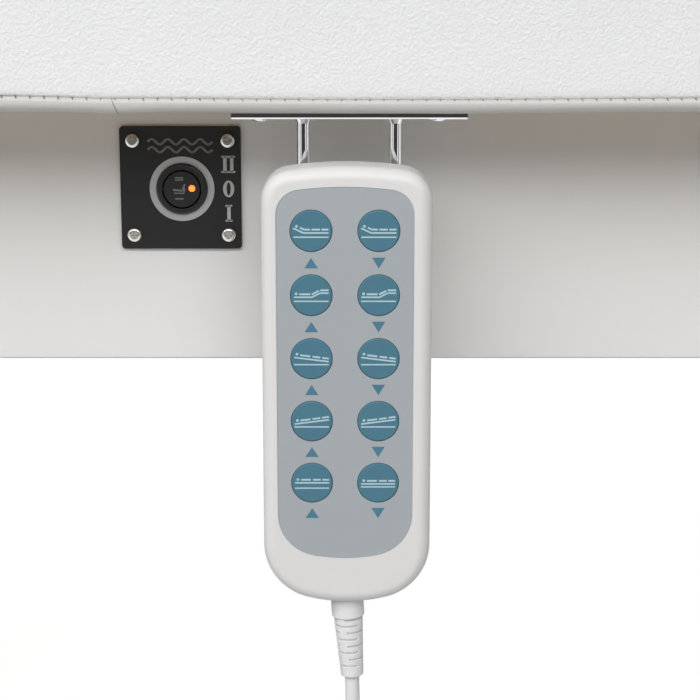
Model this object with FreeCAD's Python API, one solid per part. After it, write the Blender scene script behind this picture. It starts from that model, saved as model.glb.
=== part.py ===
"""Electric massage table: four upholstered sections on a boxed steel frame, carried by two lifting columns.

Millimetres. The origin is on the floor under the middle of the table, +X runs towards the foot end,
+Y towards the rear side and +Z up. The handset and the heater switch are on the front (-Y) side.
The table stands at its lowest height with every section flat.
"""
import FreeCAD
import Part
import math
import os

V = FreeCAD.Vector

# Overall sizes
LENGTH = 1900.0
WIDTH = 700.0
UNDERSIDE_Z = 520.0
CUSHION_T = 100.0
BACK_LENGTH = 640.0
SEAT_LENGTH = 420.0
THIGH_LENGTH = 360.0
SECTION_GAP = 8.0

# Upholstery
EDGE_R = 24.0
SIDE_R = 14.0
BOTTOM_R = 5.0
BOARD_T = 15.0
BOARD_INSET = 7.0
FIT = 0.3
MAT_T = 2.0
MAT_DEPTH = 14.0
MAT_MARGIN = 60.0
HOLE_LENGTH = 210.0
HOLE_WIDTH = 130.0
HOLE_FROM_HEAD = 200.0
HOLE_LEDGE = 9.0
HOLE_ROUND = 8.0
PLUG_CLEARANCE = 1.0

# Apron box and top frame
APRON_T = 18.0
APRON_OVERHANG = 60.0
APRON_END_OVERHANG = 60.0
APRON_DROP = 112.0
APRON_TOP_GAP = 1.0
RAIL_W = 25.0
RAIL_H = 50.0
RAIL_DROP = 80.0
RAIL_GAP = 22.0
WALL = 2.5
SEAT_TUBE_Y = 185.0
SEAT_TUBE_W = 30.0
SECTION_TUBE_Y = 180.0
SECTION_TUBE = 25.0
SECTION_CROSS = 25.0
TUBE_SETBACK = 8.0
HOLE_TO_TUBE = 25.0
THIGH_CROSS_FROM = 40.0
CALF_CROSS_SHIFT = 45.0
CALF_EAR = (14.0, 44.0)
CROSS_TUBE = 40.0
LUG_FROM_END = 80.0
LUG_FROM_COLUMN = 40.0
LUG_MIDDLE_X = (-300.0, 0.0, 300.0)
LUG_W = 24.0
LUG_Y = 150.0
REST_HALF = 10.0
STUB_HALF = 20.0
STUB_FROM_END = 70.0
SEAT_CROSS_FROM_END = (230.0, 50.0)
SEAT_CROSS_W = 30.0
LOW_BEAM_DROP = 110.0
LOW_BEAM_T = 16.0
LOW_BEAM_W = 40.0
DROP_PLATE_T = 6.0

# Section hinges
HINGE_DROP = 20.0
HINGE_EYE_R = 9.0
HINGE_PIN_R = 4.0
HINGE_ARM_T = 8.0
HINGE_ARM_GAP = 2.0
ARM_FOOT = 30.0
CALF_HINGE_DROP = 12.0
RUN = 0.1

# Lifting columns and base
COLUMN_FROM_END = 430.0
COLUMN_OUTER_X = 130.0
COLUMN_OUTER_Y = 170.0
COLUMN_WALL = 3.5
COLUMN_GLIDE = 3.0
COLUMN_R = 18.0
COLUMN_TOP_DROP = 147.0
COLUMN_STEP = 10.0
PIVOT_DROP = 98.0
PIVOT_R = 10.0
PIVOT_EYE_R = 14.0
COLUMN_EAR_Y = 39.0
COLUMN_EAR_T = 12.0
FRAME_EAR_Y = 64.0
FRAME_EAR_T = 12.0
SLOT_SHIFT = 11.0
SLOT_PLAY = 0.9
FRAME_EYE_R = 18.0
PLATE = 6.0
COLLAR_H = 14.0
COLLAR_LIP = 2.0
FOOT_H = 25.0
CROSS_FOOT_W = 80.0
CROSS_FOOT_H = 50.0
CROSS_FOOT_LENGTH = 620.0
BEAM_Y = 98.0
BEAM_W = 40.0
PAD_T = 8.0
FLANGE_T = 8.0
FLANGE_X = 190.0
FLANGE_Y = 230.0
SCREW_X = 24.0
SCREW_R = 8.0
SCREW_TOP_GAP = 21.0
SCREW_HOLE_R = 12.0
DRIVE_X = 62.0
DRIVE_Y = 150.0
BOLT_INSET = 16.0
BOLT_R = 4.0
BOLT_HEAD_R = 7.5
BOLT_HEAD_H = 5.0
NUT_H = 4.5
FOOT_R = 24.0
FOOT_INSET = 45.0

# Actuators and levers, by points from a section's end and from the underside
BACK_ACTUATOR_Y = 70.0
LEG_ACTUATOR_Y = -70.0
BACK_REAR_FROM = (300.0, -70.0)
BACK_ROD_PIN_FROM = (20.0, -65.0)
LEG_REAR_FROM = (-290.0, -70.0)
LEG_ROD_PIN_FROM = (-30.0, -60.0)
ROD_PIN_R = 4.0
ROD_R = 9.0
LEVER_T = 8.0
REAR_PIN_R = 5.0
REAR_EYE_R = 11.0
REAR_EYE_GAP = 8.0
REAR_EAR_T = 6.0
BACK_LEVER_POINTS = ((-14.0, -20.0), (-40.0, -20.0), (-40.0, -40.0), (10.0, -76.0), (32.0, -76.0),
                     (32.0, -38.0), (-2.0, -32.0))
LEG_LEVER_POINTS = ((40.0, -18.0), (65.0, -18.0), (68.0, -28.0), (-12.0, -73.0), (-40.0, -73.0),
                    (-46.0, -62.0), (-46.0, -48.0), (-34.0, -40.0), (-10.0, -40.0))
CALF_LEVER_POINTS = ((10.0, -17.0), (27.0, -17.0), (25.0, -50.0), (13.0, -128.0), (-12.0, -128.0),
                     (-12.0, -118.0), (7.0, -50.0))
BACK_SLOT = (-1.2, 17.4, 6.3)
LEG_SLOT = (-0.6, 5.4, 5.3)
LINK_DROP = 112.0
LINK_Y = 151.0
LINK_T = 6.0
LINK_HALF_W = 9.0
LINK_PIN_R = 5.0
LINK_PLAY = 0.4

EYE_R = 12.0
EYE_HALF = 6.0
GEARBOX_X = (14.0, 72.0)
GEARBOX_HALF_Y = 22.0
GEARBOX_HALF_Z = 19.0
MOTOR_OFFSET = 42.0
MOTOR_R = 19.0
MOTOR_LENGTH = 90.0
TUBE_R = 15.0
BORE_START = 28.0
FORK_ROOT = 14.0
FORK_HALF_Y = 12.0
FORK_HALF_Z = 10.0
FORK_GAP = 12.0
BACK_FORK_GAP = 46.0
LEG_FORK_GAP = 34.0

# Handset, its hanger and the heater switch
HANDSET_X = -99.5
HANDSET_W = 68.2
HANDSET_TOP = 21.1
HANDSET_H = 181.3
HANDSET_T = 24.0
HANDSET_FORWARD = 59.0
HANDSET_RADII = (165.0, 12.5, 66.0, 24.0)
LABEL_RADII = (150.0, 10.0, 75.0, 18.0)
SHELL_WALL = 2.2
SHELL_ROUND = 5.0
FRONT_WALL = 3.0
POCKET = 1.0
FRONT_SHELL_T = 12.0
LABEL_W = 54.6
FACE_SHIFT = -0.7
LABEL_TOP = 7.8
LABEL_H = 153.1
LABEL_T = 0.8
KEY_R = 8.3
KEY_FIT = 0.2
KEY_PITCH_X = 26.8
KEY_PITCH_Z = 25.9
KEY_FIRST = 25.2
KEY_FLANGE_T = 1.2
KEY_NAMES = (("key_back_up", "key_back_down"), ("key_leg_up", "key_leg_down"),
             ("key_head_end_up", "key_head_end_down"),
             ("key_foot_end_up", "key_foot_end_down"), ("key_height_up", "key_height_down"))
BOARD_DEPTH = 5.1
BOARD_THIN = 1.6
POST_X = 22.0
HOOK_W = 16.0
HOOK_T = 3.4
HOOK_DROP = 68.0
KEY_PROUD = 0.15
HANGER_OFFSET = 1.1
HANGER_L = 93.0
HANGER_FORWARD = 53.0
HANGER_DEPTH = 38.0
HANGER_T = 3.1
LOOP_R = 2.75
LOOP_SPAN = 37.4
LOOP_BEND = 8.0
LOOP_FORWARD = 28.0
LOOP_DROP = 58.0
FLARE = 2.0
SCREW_SPAN = 70.5
HANGER_HEAD_R = 4.85
HANGER_HEAD_H = 2.6
HANGER_SCREW_R = 2.0
HANGER_SCREW_LENGTH = 14.0
FINE = 0.05
PLATE_X = -169.7
PLATE_DROP = 37.4
PLATE_W = 51.0
PLATE_H = 52.0
PLATE_T = 1.6
PLATE_SCREW_SPAN = 40.0
PLATE_HEAD_R = 3.15
PLATE_HEAD_H = 1.6
PLATE_SCREW_R = 1.5
PLATE_SCREW_LENGTH = 9.0
SWITCH_R = 10.8
SWITCH_BODY_R = 10.2
SWITCH_BODY_LENGTH = 34.0
BEZEL_T = 1.8
ROCKER_SPHERE_R = 8.0
ROCKER_HALF_T = 2.5
ROCKER_IN = 0.9
ROCKER_DEPTH = 7.4
ROCKER_PIN_R = 1.0
ROCKER_PIN_HALF = 9.3
SWITCH_DX = 0.5
SWITCH_DZ = -0.4

# Cord from the handset to the control box
CORD_R = 3.1
BOX_FROM_HEAD = 465.0
BOX_LENGTH = 150.0
BOX_DEPTH = 100.0
BOX_DROP = 32.0
BOX_H = 56.0
GLAND_FROM_END = 25.0
GLAND_FROM_RAIL = 35.0
GLAND_LENGTH = 24.0
CORD_GRIP = 3.5
RELIEF_LENGTH = 35.6
RELIEF_R = 6.85
RELIEF_TIP_R = 4.8
RELIEF_LEAN = 3.6
RELIEF_DEPTH = 12.0
COLLAR_LENGTH = 8.9
RIBS = 8
RIB_PITCH = 3.0
RIB_GAP = 0.8
RIB_DEPTH = 1.2
RIB_FLARE = 0.3
BRIDGE_W = 3.4
BRIDGE_TURNS = (60.0, 150.0)
NECK_R = 4.6
CORD_POINTS = [
    (-97.45, -337.0, 285.1), (-96.8, -337.0, 262.0), (-96.0, -335.0, 214.0), (-97.0, -331.0, 168.0),
    (-106.0, -324.0, 122.0), (-131.0, -311.0, 82.0), (-172.0, -293.0, 58.0), (-220.0, -272.0, 52.0),
    (-266.0, -251.0, 70.0), (-303.0, -232.0, 108.0), (-328.0, -217.0, 156.0), (-344.0, -206.0, 208.0),
    (-354.0, -198.0, 262.0), (-359.0, -192.0, 318.0), (-360.0, -190.0, 366.0), (-360.0, -190.0, 425.0),
]

# Places that follow from the sizes above
HEAD_X = -LENGTH / 2
FOOT_X = LENGTH / 2
BACK_END = HEAD_X + BACK_LENGTH
SEAT_END = BACK_END + SEAT_LENGTH
THIGH_END = SEAT_END + THIGH_LENGTH
COLUMN_X = FOOT_X - COLUMN_FROM_END
APRON_BOTTOM_Z = UNDERSIDE_Z - APRON_DROP
RAIL_BOTTOM_Z = UNDERSIDE_Z - RAIL_DROP
LOW_BEAM_Z = UNDERSIDE_Z - LOW_BEAM_DROP
CALF_HINGE_Z = UNDERSIDE_Z - CALF_HINGE_DROP
COLUMN_TOP_Z = UNDERSIDE_Z - COLUMN_TOP_DROP
PIVOT_Z = UNDERSIDE_Z - PIVOT_DROP
SCREW_TOP_Z = COLUMN_TOP_Z - SCREW_TOP_GAP
SEAT_CROSS_X = [(SEAT_END - start, SEAT_END - start + SEAT_CROSS_W) for start in SEAT_CROSS_FROM_END]
TOP_Z = UNDERSIDE_Z + CUSHION_T
HALF_GAP = SECTION_GAP / 2
HINGE_Z = TOP_Z - HINGE_DROP
APRON_TOP_Z = UNDERSIDE_Z - APRON_TOP_GAP
APRON_Y = WIDTH / 2 - APRON_OVERHANG
APRON_X = LENGTH / 2 - APRON_END_OVERHANG
APRON_IN_Y = APRON_Y - APRON_T
APRON_IN_X = APRON_X - APRON_T
RAIL_Y = APRON_IN_Y - RAIL_GAP
RAIL_IN_Y = RAIL_Y - RAIL_W
RAIL_TOP_Z = RAIL_BOTTOM_Z + RAIL_H
SECTION_Z = UNDERSIDE_Z - SECTION_TUBE
ARM_Y = SECTION_TUBE_Y + SECTION_TUBE
FRAME_X = APRON_IN_X - 12
HOLE_X = HEAD_X + HOLE_FROM_HEAD
PIN_HALF = FRAME_EAR_Y + FRAME_EAR_T + 6
PAD_Z = FOOT_H + CROSS_FOOT_H
COLUMN_Z = PAD_Z + PAD_T
MIDDLE_Z = COLUMN_Z + FLANGE_T + 4
HANDSET_TOP_Z = UNDERSIDE_Z - HANDSET_TOP
HANDSET_BOTTOM_Z = HANDSET_TOP_Z - HANDSET_H
HANGER_X = HANDSET_X + HANGER_OFFSET
HANDSET_FRONT_Y = -APRON_Y - HANDSET_FORWARD
BOARD_Y = HANDSET_FRONT_Y + BOARD_DEPTH
RELIEF_Y = HANDSET_FRONT_Y + RELIEF_DEPTH
HANGER_FRONT_Y = -APRON_Y - HANGER_FORWARD
LOOP_Y = -APRON_Y - LOOP_FORWARD
HOOK_Z0 = UNDERSIDE_Z - HOOK_DROP
PLATE_Z = UNDERSIDE_Z - PLATE_DROP
BOX_X = (HEAD_X + BOX_FROM_HEAD, HEAD_X + BOX_FROM_HEAD + BOX_LENGTH)
BOX_Z = (UNDERSIDE_Z - BOX_DROP - BOX_H, UNDERSIDE_Z - BOX_DROP)
GLAND_X = BOX_X[1] - GLAND_FROM_END
GLAND_Y = -RAIL_IN_Y + GLAND_FROM_RAIL
LUG_X = [-FRAME_X + LUG_FROM_END, -COLUMN_X - LUG_FROM_COLUMN, *LUG_MIDDLE_X, COLUMN_X + LUG_FROM_COLUMN,
         FRAME_X - LUG_FROM_END]
FACE_X = HANDSET_X + FACE_SHIFT
LOOP_BAR_Z = UNDERSIDE_Z - LOOP_DROP
SWITCH_X = PLATE_X + SWITCH_DX
SWITCH_Z = PLATE_Z + SWITCH_DZ
ROCKER_Y = -APRON_Y - PLATE_T + ROCKER_IN


def from_end(end_x, offsets):
    """Points given from a section's end and from the underside, as places (x, z)."""
    return [(end_x + dx, UNDERSIDE_Z + dz) for dx, dz in offsets]


BACK_REAR, BACK_ROD_PIN = from_end(BACK_END, (BACK_REAR_FROM, BACK_ROD_PIN_FROM))
LEG_REAR, LEG_ROD_PIN = from_end(SEAT_END, (LEG_REAR_FROM, LEG_ROD_PIN_FROM))


def box(x0, x1, y0, y1, z0, z1):
    """A block between two opposite corners."""
    return Part.makeBox(x1 - x0, y1 - y0, z1 - z0, V(x0, y0, z0))


def rod(x, y, z, axis, radius, length):
    """A cylinder that starts at a point and runs along an axis."""
    return Part.makeCylinder(radius, length, V(x, y, z), V(*axis))


def join(shapes):
    """One solid from overlapping or touching shapes."""
    whole = shapes[0]
    for other in shapes[1:]:
        whole = whole.fuse(other)
    return whole.removeSplitter()


def less(shape, cutters):
    """A shape with all the cutters taken out."""
    for cutter in cutters:
        shape = shape.cut(cutter)
    return shape


def plate_xz(points, y0, y1):
    """A flat plate with an outline in X and Z, between two Y planes."""
    corners = [V(x, y0, z) for x, z in points]
    face = Part.Face(Part.makePolygon(corners + [corners[0]]))
    return face.extrude(V(0, y1 - y0, 0))


def slot_xz(x, z0, z1, radius, y0, y1):
    """An upright slot in X and Z with round ends, between two Y planes."""
    middle = box(x - radius, x + radius, y0, y1, z0, z1)
    return join([middle] + [rod(x, y0, z, (0, 1, 0), radius, y1 - y0) for z in (z0, z1)])


def tube(x0, x1, y0, y1, z0, z1, along, wall=WALL):
    """The outside and the bore of a rectangular tube, closed at both ends by its wall."""
    outside = box(x0, x1, y0, y1, z0, z1)
    grow = {"x": (wall, 0, 0), "y": (0, wall, 0)}[along]
    inside = box(x0 + wall + grow[0], x1 - wall - grow[0], y0 + wall + grow[1], y1 - wall - grow[1],
                 z0 + wall, z1 - wall)
    return outside, inside


def weld(tubes, solids=(), cutters=()):
    """A welded frame: tubes joined with their bores open, then plates added and holes cut."""
    shell = less(join([outside for outside, inside in tubes]), [inside for outside, inside in tubes])
    return less(join([shell] + list(solids)), cutters)


def edges_where(shape, test):
    """The edges of a shape whose two ends both pass a test."""
    return [e for e in shape.Edges if all(test(v.Point) for v in e.Vertexes)]


def near(a, b):
    """True if two lengths are the same to a hundredth of a millimetre."""
    return abs(a - b) < 0.01


def export(name, solids):
    """Writes one node from one solid or a list of separate solids."""
    solids = solids if isinstance(solids, list) else [solids]
    shape = solids[0] if len(solids) == 1 else Part.makeCompound(solids)
    count = sum(len(s.Solids) for s in solids)
    print(name, count, round(shape.Volume / 1000, 2), "valid" if shape.isValid() else "INVALID")
    shape.exportStep(os.path.join("parts", name + ".step"))

def span(side, a, b):
    """Two lengths mirrored to one side and put in rising order."""
    return sorted((side * a, side * b))


def eye_ear(x, z, eye_r, z_far, y0, y1):
    """A plate ear in X and Z with a round end about (x, z) and a square end at z_far."""
    low, high = sorted((z, z_far))
    return join([box(x - eye_r, x + eye_r, y0, y1, low, high), rod(x, y0, z, (0, 1, 0), eye_r, y1 - y0)])


# Base and lifting columns


def column_holes(x):
    """The centres of the four flange bolts of the column at x."""
    dx = FLANGE_X / 2 - BOLT_INSET
    dy = FLANGE_Y / 2 - BOLT_INSET
    return [(x + sx * dx, sy * dy) for sx in (-1, 1) for sy in (-1, 1)]


def cross_foot(x, shrink, reach):
    """The block of one cross foot, made smaller all round by a wall and longer by a reach."""
    half = CROSS_FOOT_LENGTH / 2 + reach
    return box(x - CROSS_FOOT_W / 2 + shrink, x + CROSS_FOOT_W / 2 - shrink, -half, half,
               FOOT_H + shrink, PAD_Z - shrink)


def make_base_frame():
    """Two hollow cross feet, two long beams between them and a bolted pad under each column."""
    tubes = []
    pads = []
    cutters = []
    for x in (-COLUMN_X, COLUMN_X):
        tubes.append((cross_foot(x, 0, 0), cross_foot(x, WALL, 1)))
        pads.append(box(x - FLANGE_X / 2, x + FLANGE_X / 2, -FLANGE_Y / 2, FLANGE_Y / 2, PAD_Z, COLUMN_Z))
        cutters.append(rod(x - SCREW_X, 0, PAD_Z - 10, (0, 0, 1), SCREW_HOLE_R, 30))
        cutters += [rod(hx, hy, PAD_Z - 5, (0, 0, 1), BOLT_R + RUN, 20) for hx, hy in column_holes(x)]
    inner = COLUMN_X - CROSS_FOOT_W / 2 + 1
    for side in (-1, 1):
        y0, y1 = span(side, BEAM_Y - BEAM_W / 2, BEAM_Y + BEAM_W / 2)
        tubes.append(tube(-inner, inner, y0, y1, FOOT_H + 5, PAD_Z - 5, "x"))
    return weld(tubes, pads, cutters)


def make_end_caps():
    """A plastic cap in each open end of the cross feet."""
    caps = []
    half = CROSS_FOOT_LENGTH / 2
    for x in (-COLUMN_X, COLUMN_X):
        for side in (-1, 1):
            y0, y1 = span(side, half, half + 4)
            head = box(x - CROSS_FOOT_W / 2, x + CROSS_FOOT_W / 2, y0, y1, FOOT_H, PAD_Z)
            outer_rim = edges_where(head, lambda p: near(p.y, side * (half + 4)))
            p0, p1 = span(side, half - 16, half)
            plug = cross_foot(x, WALL, 0).common(box(x - 100, x + 100, p0, p1, 0, 100))
            caps.append(join([head.makeFillet(2.5, outer_rim), plug]))
    return caps


def make_levelling_feet():
    """A rubber-shod disc, a neck and a nut under each end of the cross feet."""
    feet = []
    for x in (-COLUMN_X, COLUMN_X):
        for y in (-CROSS_FOOT_LENGTH / 2 + FOOT_INSET, CROSS_FOOT_LENGTH / 2 - FOOT_INSET):
            disc = rod(x, y, 0, (0, 0, 1), FOOT_R, 9)
            disc = disc.makeFillet(3, edges_where(disc, lambda p: near(p.z, 9)))
            neck = Part.makeCone(14, 9, 5, V(x, y, 9), V(0, 0, 1))
            feet.append(join([disc, neck, rod(x, y, 14, (0, 0, 1), 9, FOOT_H - 14)]))
    return feet


def stage(x, index, z0, z1, grow=0.0):
    """A block with the outline of one column stage. Stage 0 is the outermost."""
    shrink = index * (COLUMN_WALL + COLUMN_GLIDE) - grow
    block = box(x - COLUMN_OUTER_X / 2 + shrink, x + COLUMN_OUTER_X / 2 - shrink,
                -COLUMN_OUTER_Y / 2 + shrink, COLUMN_OUTER_Y / 2 - shrink, z0, z1)
    upright = [e for e in block.Edges if near(e.BoundBox.ZLength, z1 - z0)]
    return block.makeFillet(COLUMN_R - shrink, upright)


def stage_tube(x, index, z0, z1):
    """One hollow column stage, open at both ends."""
    return stage(x, index, z0, z1).cut(stage(x, index, z0 - 1, z1 + 1, -COLUMN_WALL))


def guide(x, index, z0, z1):
    """A plastic guide inside one stage that leaves a small gap round the next one."""
    return stage(x, index, z0, z1, -COLUMN_WALL).cut(stage(x, index + 1, z0 - 1, z1 + 1, FIT))


def make_column_outer(x):
    """The fixed stage of a column, with its bolted flange."""
    flange = box(x - FLANGE_X / 2, x + FLANGE_X / 2, -FLANGE_Y / 2, FLANGE_Y / 2, COLUMN_Z,
                 COLUMN_Z + FLANGE_T)
    flange = flange.makeFillet(12, [e for e in flange.Edges if near(e.BoundBox.ZLength, FLANGE_T)])
    holes = [rod(hx, hy, COLUMN_Z - 1, (0, 0, 1), BOLT_R + RUN, FLANGE_T + 2) for hx, hy in column_holes(x)]
    holes.append(stage(x, 0, COLUMN_Z - 1, COLUMN_TOP_Z + 1, -COLUMN_WALL))
    return less(join([stage(x, 0, COLUMN_Z, COLUMN_TOP_Z), flange]), holes)


def make_column_bolts():
    """The flange bolts of both columns, each with its nut under the pad."""
    bolts = []
    top = COLUMN_Z + FLANGE_T
    for x in (-COLUMN_X, COLUMN_X):
        for hx, hy in column_holes(x):
            head = rod(hx, hy, top, (0, 0, 1), BOLT_HEAD_R, BOLT_HEAD_H)
            shank = rod(hx, hy, PAD_Z - NUT_H, (0, 0, 1), BOLT_R, top - PAD_Z + NUT_H + 1)
            nut = rod(hx, hy, PAD_Z - NUT_H, (0, 0, 1), BOLT_HEAD_R - 1, NUT_H)
            bolts.append(join([head, shank, nut]).cut(rod(hx, hy, top + 2, (0, 0, 1), 3, BOLT_HEAD_H)))
    return bolts


def make_column_drives():
    """The gear motor in each cross foot, with the lifting screw that stands on it."""
    drives = []
    for x in (-COLUMN_X, COLUMN_X):
        low, high = FOOT_H + WALL, PAD_Z - WALL - 3
        motor = box(x - DRIVE_X / 2, x + DRIVE_X / 2, -DRIVE_Y / 2, DRIVE_Y / 2, low, high)
        drives.append(join([motor,
                            rod(x - SCREW_X, 0, high - 1, (0, 0, 1), SCREW_R, SCREW_TOP_Z - high + 1)]))
    return drives


def make_collars():
    """The plastic guide collar in the mouth of each outer stage, with a thin lip over its rim."""
    collars = []
    for x in (-COLUMN_X, COLUMN_X):
        lip = stage(x, 0, COLUMN_TOP_Z, COLUMN_TOP_Z + COLLAR_LIP)
        lip = lip.cut(stage(x, 1, COLUMN_TOP_Z - 1, COLUMN_TOP_Z + COLLAR_LIP + 1, FIT))
        collars.append(join([guide(x, 0, COLUMN_TOP_Z - COLLAR_H, COLUMN_TOP_Z), lip]))
    return collars


def make_column_middle(x):
    """The middle stage: a tube with a bottom plate on the first screw, and the second screw beside it."""
    top = COLUMN_TOP_Z + COLUMN_STEP
    floor = stage(x, 1, MIDDLE_Z, MIDDLE_Z + PLATE)
    body = join([stage_tube(x, 1, MIDDLE_Z, top), floor, guide(x, 1, top - COLLAR_H, top)])
    body = body.cut(rod(x - SCREW_X, 0, MIDDLE_Z - 1, (0, 0, 1), SCREW_R + FIT, PLATE + 2))
    return join([body, rod(x + SCREW_X, 0, MIDDLE_Z + 1, (0, 0, 1), SCREW_R, SCREW_TOP_Z - MIDDLE_Z - 1)])


def make_column_inner(x, ears):
    """The inner stage: a tube with a bottom plate on both screws, and a head plate with two ears."""
    z0 = MIDDLE_Z + PLATE + COLUMN_STEP
    z1 = COLUMN_TOP_Z + 2 * COLUMN_STEP
    parts = [stage_tube(x, 2, z0, z1), stage(x, 2, z0, z0 + PLATE), stage(x, 2, z1, z1 + FLANGE_T)]
    for side in (-1, 1):
        y0, y1 = span(side, COLUMN_EAR_Y, COLUMN_EAR_Y + COLUMN_EAR_T)
        parts.append(eye_ear(x, PIVOT_Z, PIVOT_EYE_R, z1 + FLANGE_T - 1, y0, y1))
    holes = [rod(x + side * SCREW_X, 0, z0 - 1, (0, 0, 1), SCREW_R + FIT, PLATE + 2) for side in (-1, 1)]
    return less(join(parts + ears), holes)


def make_head_inner():
    """The head column's inner stage, with bored ears for the pivot shaft."""
    bore = rod(-COLUMN_X, -PIN_HALF, PIVOT_Z, (0, 1, 0), PIVOT_R + RUN, 2 * PIN_HALF)
    return make_column_inner(-COLUMN_X, []).cut(bore)


def make_foot_inner():
    """The foot column's inner stage, with a cross pin welded in its ears for the frame's slots."""
    return make_column_inner(COLUMN_X, [rod(COLUMN_X, -PIN_HALF, PIVOT_Z, (0, 1, 0), PIVOT_R, 2 * PIN_HALF)])


def make_pivot_shaft():
    """The head pivot's shaft, with a locating collar between the column's ears."""
    shaft = rod(-COLUMN_X, -PIN_HALF, PIVOT_Z, (0, 1, 0), PIVOT_R, 2 * PIN_HALF)
    half = COLUMN_EAR_Y - FIT
    return join([shaft, rod(-COLUMN_X, -half, PIVOT_Z, (0, 1, 0), PIVOT_R + 3, 2 * half)])


# Top frame


def cross_tube(x0, x1, half_y, z0, z1):
    """A cross tube between two long tubes whose inner faces are at half_y."""
    outside = box(x0, x1, -half_y - 1, half_y + 1, z0, z1)
    inside = box(x0 + WALL, x1 - WALL, -half_y + 1, half_y - 1, z0 + WALL, z1 - WALL)
    return outside, inside


def frame_tubes():
    """The rails with their cross tubes, and the fixed tubes under the seat board."""
    tubes = []
    seat_x0, seat_x1 = BACK_END + HALF_GAP + TUBE_SETBACK, SEAT_END - HALF_GAP - TUBE_SETBACK
    for side in (-1, 1):
        y0, y1 = span(side, RAIL_IN_Y, RAIL_Y)
        tubes.append(tube(-FRAME_X, FRAME_X, y0, y1, RAIL_BOTTOM_Z, RAIL_TOP_Z, "x"))
        y0, y1 = span(side, SEAT_TUBE_Y, SEAT_TUBE_Y + SEAT_TUBE_W)
        tubes.append(tube(seat_x0, seat_x1, y0, y1, RAIL_TOP_Z, UNDERSIDE_Z, "x"))
        x0, x1 = span(side, FRAME_X - RAIL_W, FRAME_X)
        tubes.append(cross_tube(x0, x1, RAIL_IN_Y, RAIL_BOTTOM_Z, RAIL_TOP_Z))
        x0, x1 = span(side, COLUMN_X - CROSS_TUBE / 2, COLUMN_X + CROSS_TUBE / 2)
        tubes.append(cross_tube(x0, x1, RAIL_IN_Y, RAIL_BOTTOM_Z, RAIL_TOP_Z))
    tubes += [cross_tube(x0, x1, SEAT_TUBE_Y, RAIL_TOP_Z, UNDERSIDE_Z) for x0, x1 in SEAT_CROSS_X]
    return tubes


def frame_blocks():
    """The lugs that carry the aprons, the stubs under the seat tubes and the rests of the moving sections."""
    blocks = []
    low, high = RAIL_BOTTOM_Z + 8, RAIL_TOP_Z - 8
    rest_y = SECTION_TUBE_Y + SECTION_TUBE / 2
    for side in (-1, 1):
        y0, y1 = span(side, RAIL_Y - 1, APRON_IN_Y)
        blocks += [box(x - LUG_W / 2, x + LUG_W / 2, y0, y1, low, high) for x in LUG_X]
        y0, y1 = span(side, SEAT_TUBE_Y + SEAT_TUBE_W - 1, RAIL_Y)
        blocks += [box(x - STUB_HALF, x + STUB_HALF, y0, y1, RAIL_TOP_Z - 1, UNDERSIDE_Z - 1)
                   for x in (BACK_END + STUB_FROM_END, SEAT_END - STUB_FROM_END)]
        x0, x1 = span(side, FRAME_X - 1, APRON_IN_X)
        blocks += [box(x0, x1, y - LUG_W / 2, y + LUG_W / 2, low, high) for y in (-LUG_Y, LUG_Y)]
        middle = side * (FRAME_X - RAIL_W / 2)
        blocks += [box(middle - REST_HALF, middle + REST_HALF, y - REST_HALF, y + REST_HALF,
                       RAIL_TOP_Z - 1, SECTION_Z - FIT) for y in (-rest_y, rest_y)]
    return blocks


def actuator_mount(pivot, y, shift):
    """A low cross beam with its drop plates, and the forked ears and pin of an actuator's rear pivot."""
    px, pz = pivot
    x0, x1 = px + shift - LOW_BEAM_W / 2, px + shift + LOW_BEAM_W / 2
    top = LOW_BEAM_Z + LOW_BEAM_T
    parts = [box(x0, x1, -RAIL_IN_Y, RAIL_IN_Y, LOW_BEAM_Z, top)]
    for side in (-1, 1):
        y0, y1 = span(side, RAIL_IN_Y - DROP_PLATE_T, RAIL_IN_Y)
        parts.append(box(x0, x1, y0, y1, LOW_BEAM_Z, RAIL_TOP_Z - 10))
        y0, y1 = sorted((y + side * REAR_EYE_GAP, y + side * (REAR_EYE_GAP + REAR_EAR_T)))
        parts.append(eye_ear(px, pz, REAR_EYE_R, top - 1, y0, y1))
    half = REAR_EYE_GAP + REAR_EAR_T + 2
    return parts + [rod(px, y - half, pz, (0, 1, 0), REAR_PIN_R, 2 * half)]


def hinge_arms(x, fixed):
    """The two arms of a raised hinge, with their feet along the section tubes."""
    parts = []
    toward = 1 if (x == BACK_END) == fixed else -1
    start = ARM_Y + (HINGE_ARM_T + HINGE_ARM_GAP if fixed else 0)
    for side in (-1, 1):
        y0, y1 = span(side, start, start + HINGE_ARM_T)
        parts.append(eye_ear(x, HINGE_Z, HINGE_EYE_R, SECTION_Z + 1, y0, y1))
        f0, f1 = sorted((x, x + toward * (HINGE_EYE_R + ARM_FOOT)))
        parts.append(box(f0, f1, y0, y1, SECTION_Z + 1, UNDERSIDE_Z - 2))
    return parts


def hinge_pins(x):
    """The two studs of a raised hinge, welded to its fixed arms."""
    inner, outer = ARM_Y - 1, ARM_Y + 2 * HINGE_ARM_T + HINGE_ARM_GAP
    return [rod(x, span(side, inner, outer)[0], HINGE_Z, (0, 1, 0), HINGE_PIN_R, outer - inner)
            for side in (-1, 1)]


def hinge_bores(x):
    """The bores in the moving arms of a raised hinge."""
    return [rod(x, -ARM_Y - 12, HINGE_Z, (0, 1, 0), HINGE_PIN_R + RUN, 2 * ARM_Y + 24)]


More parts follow.
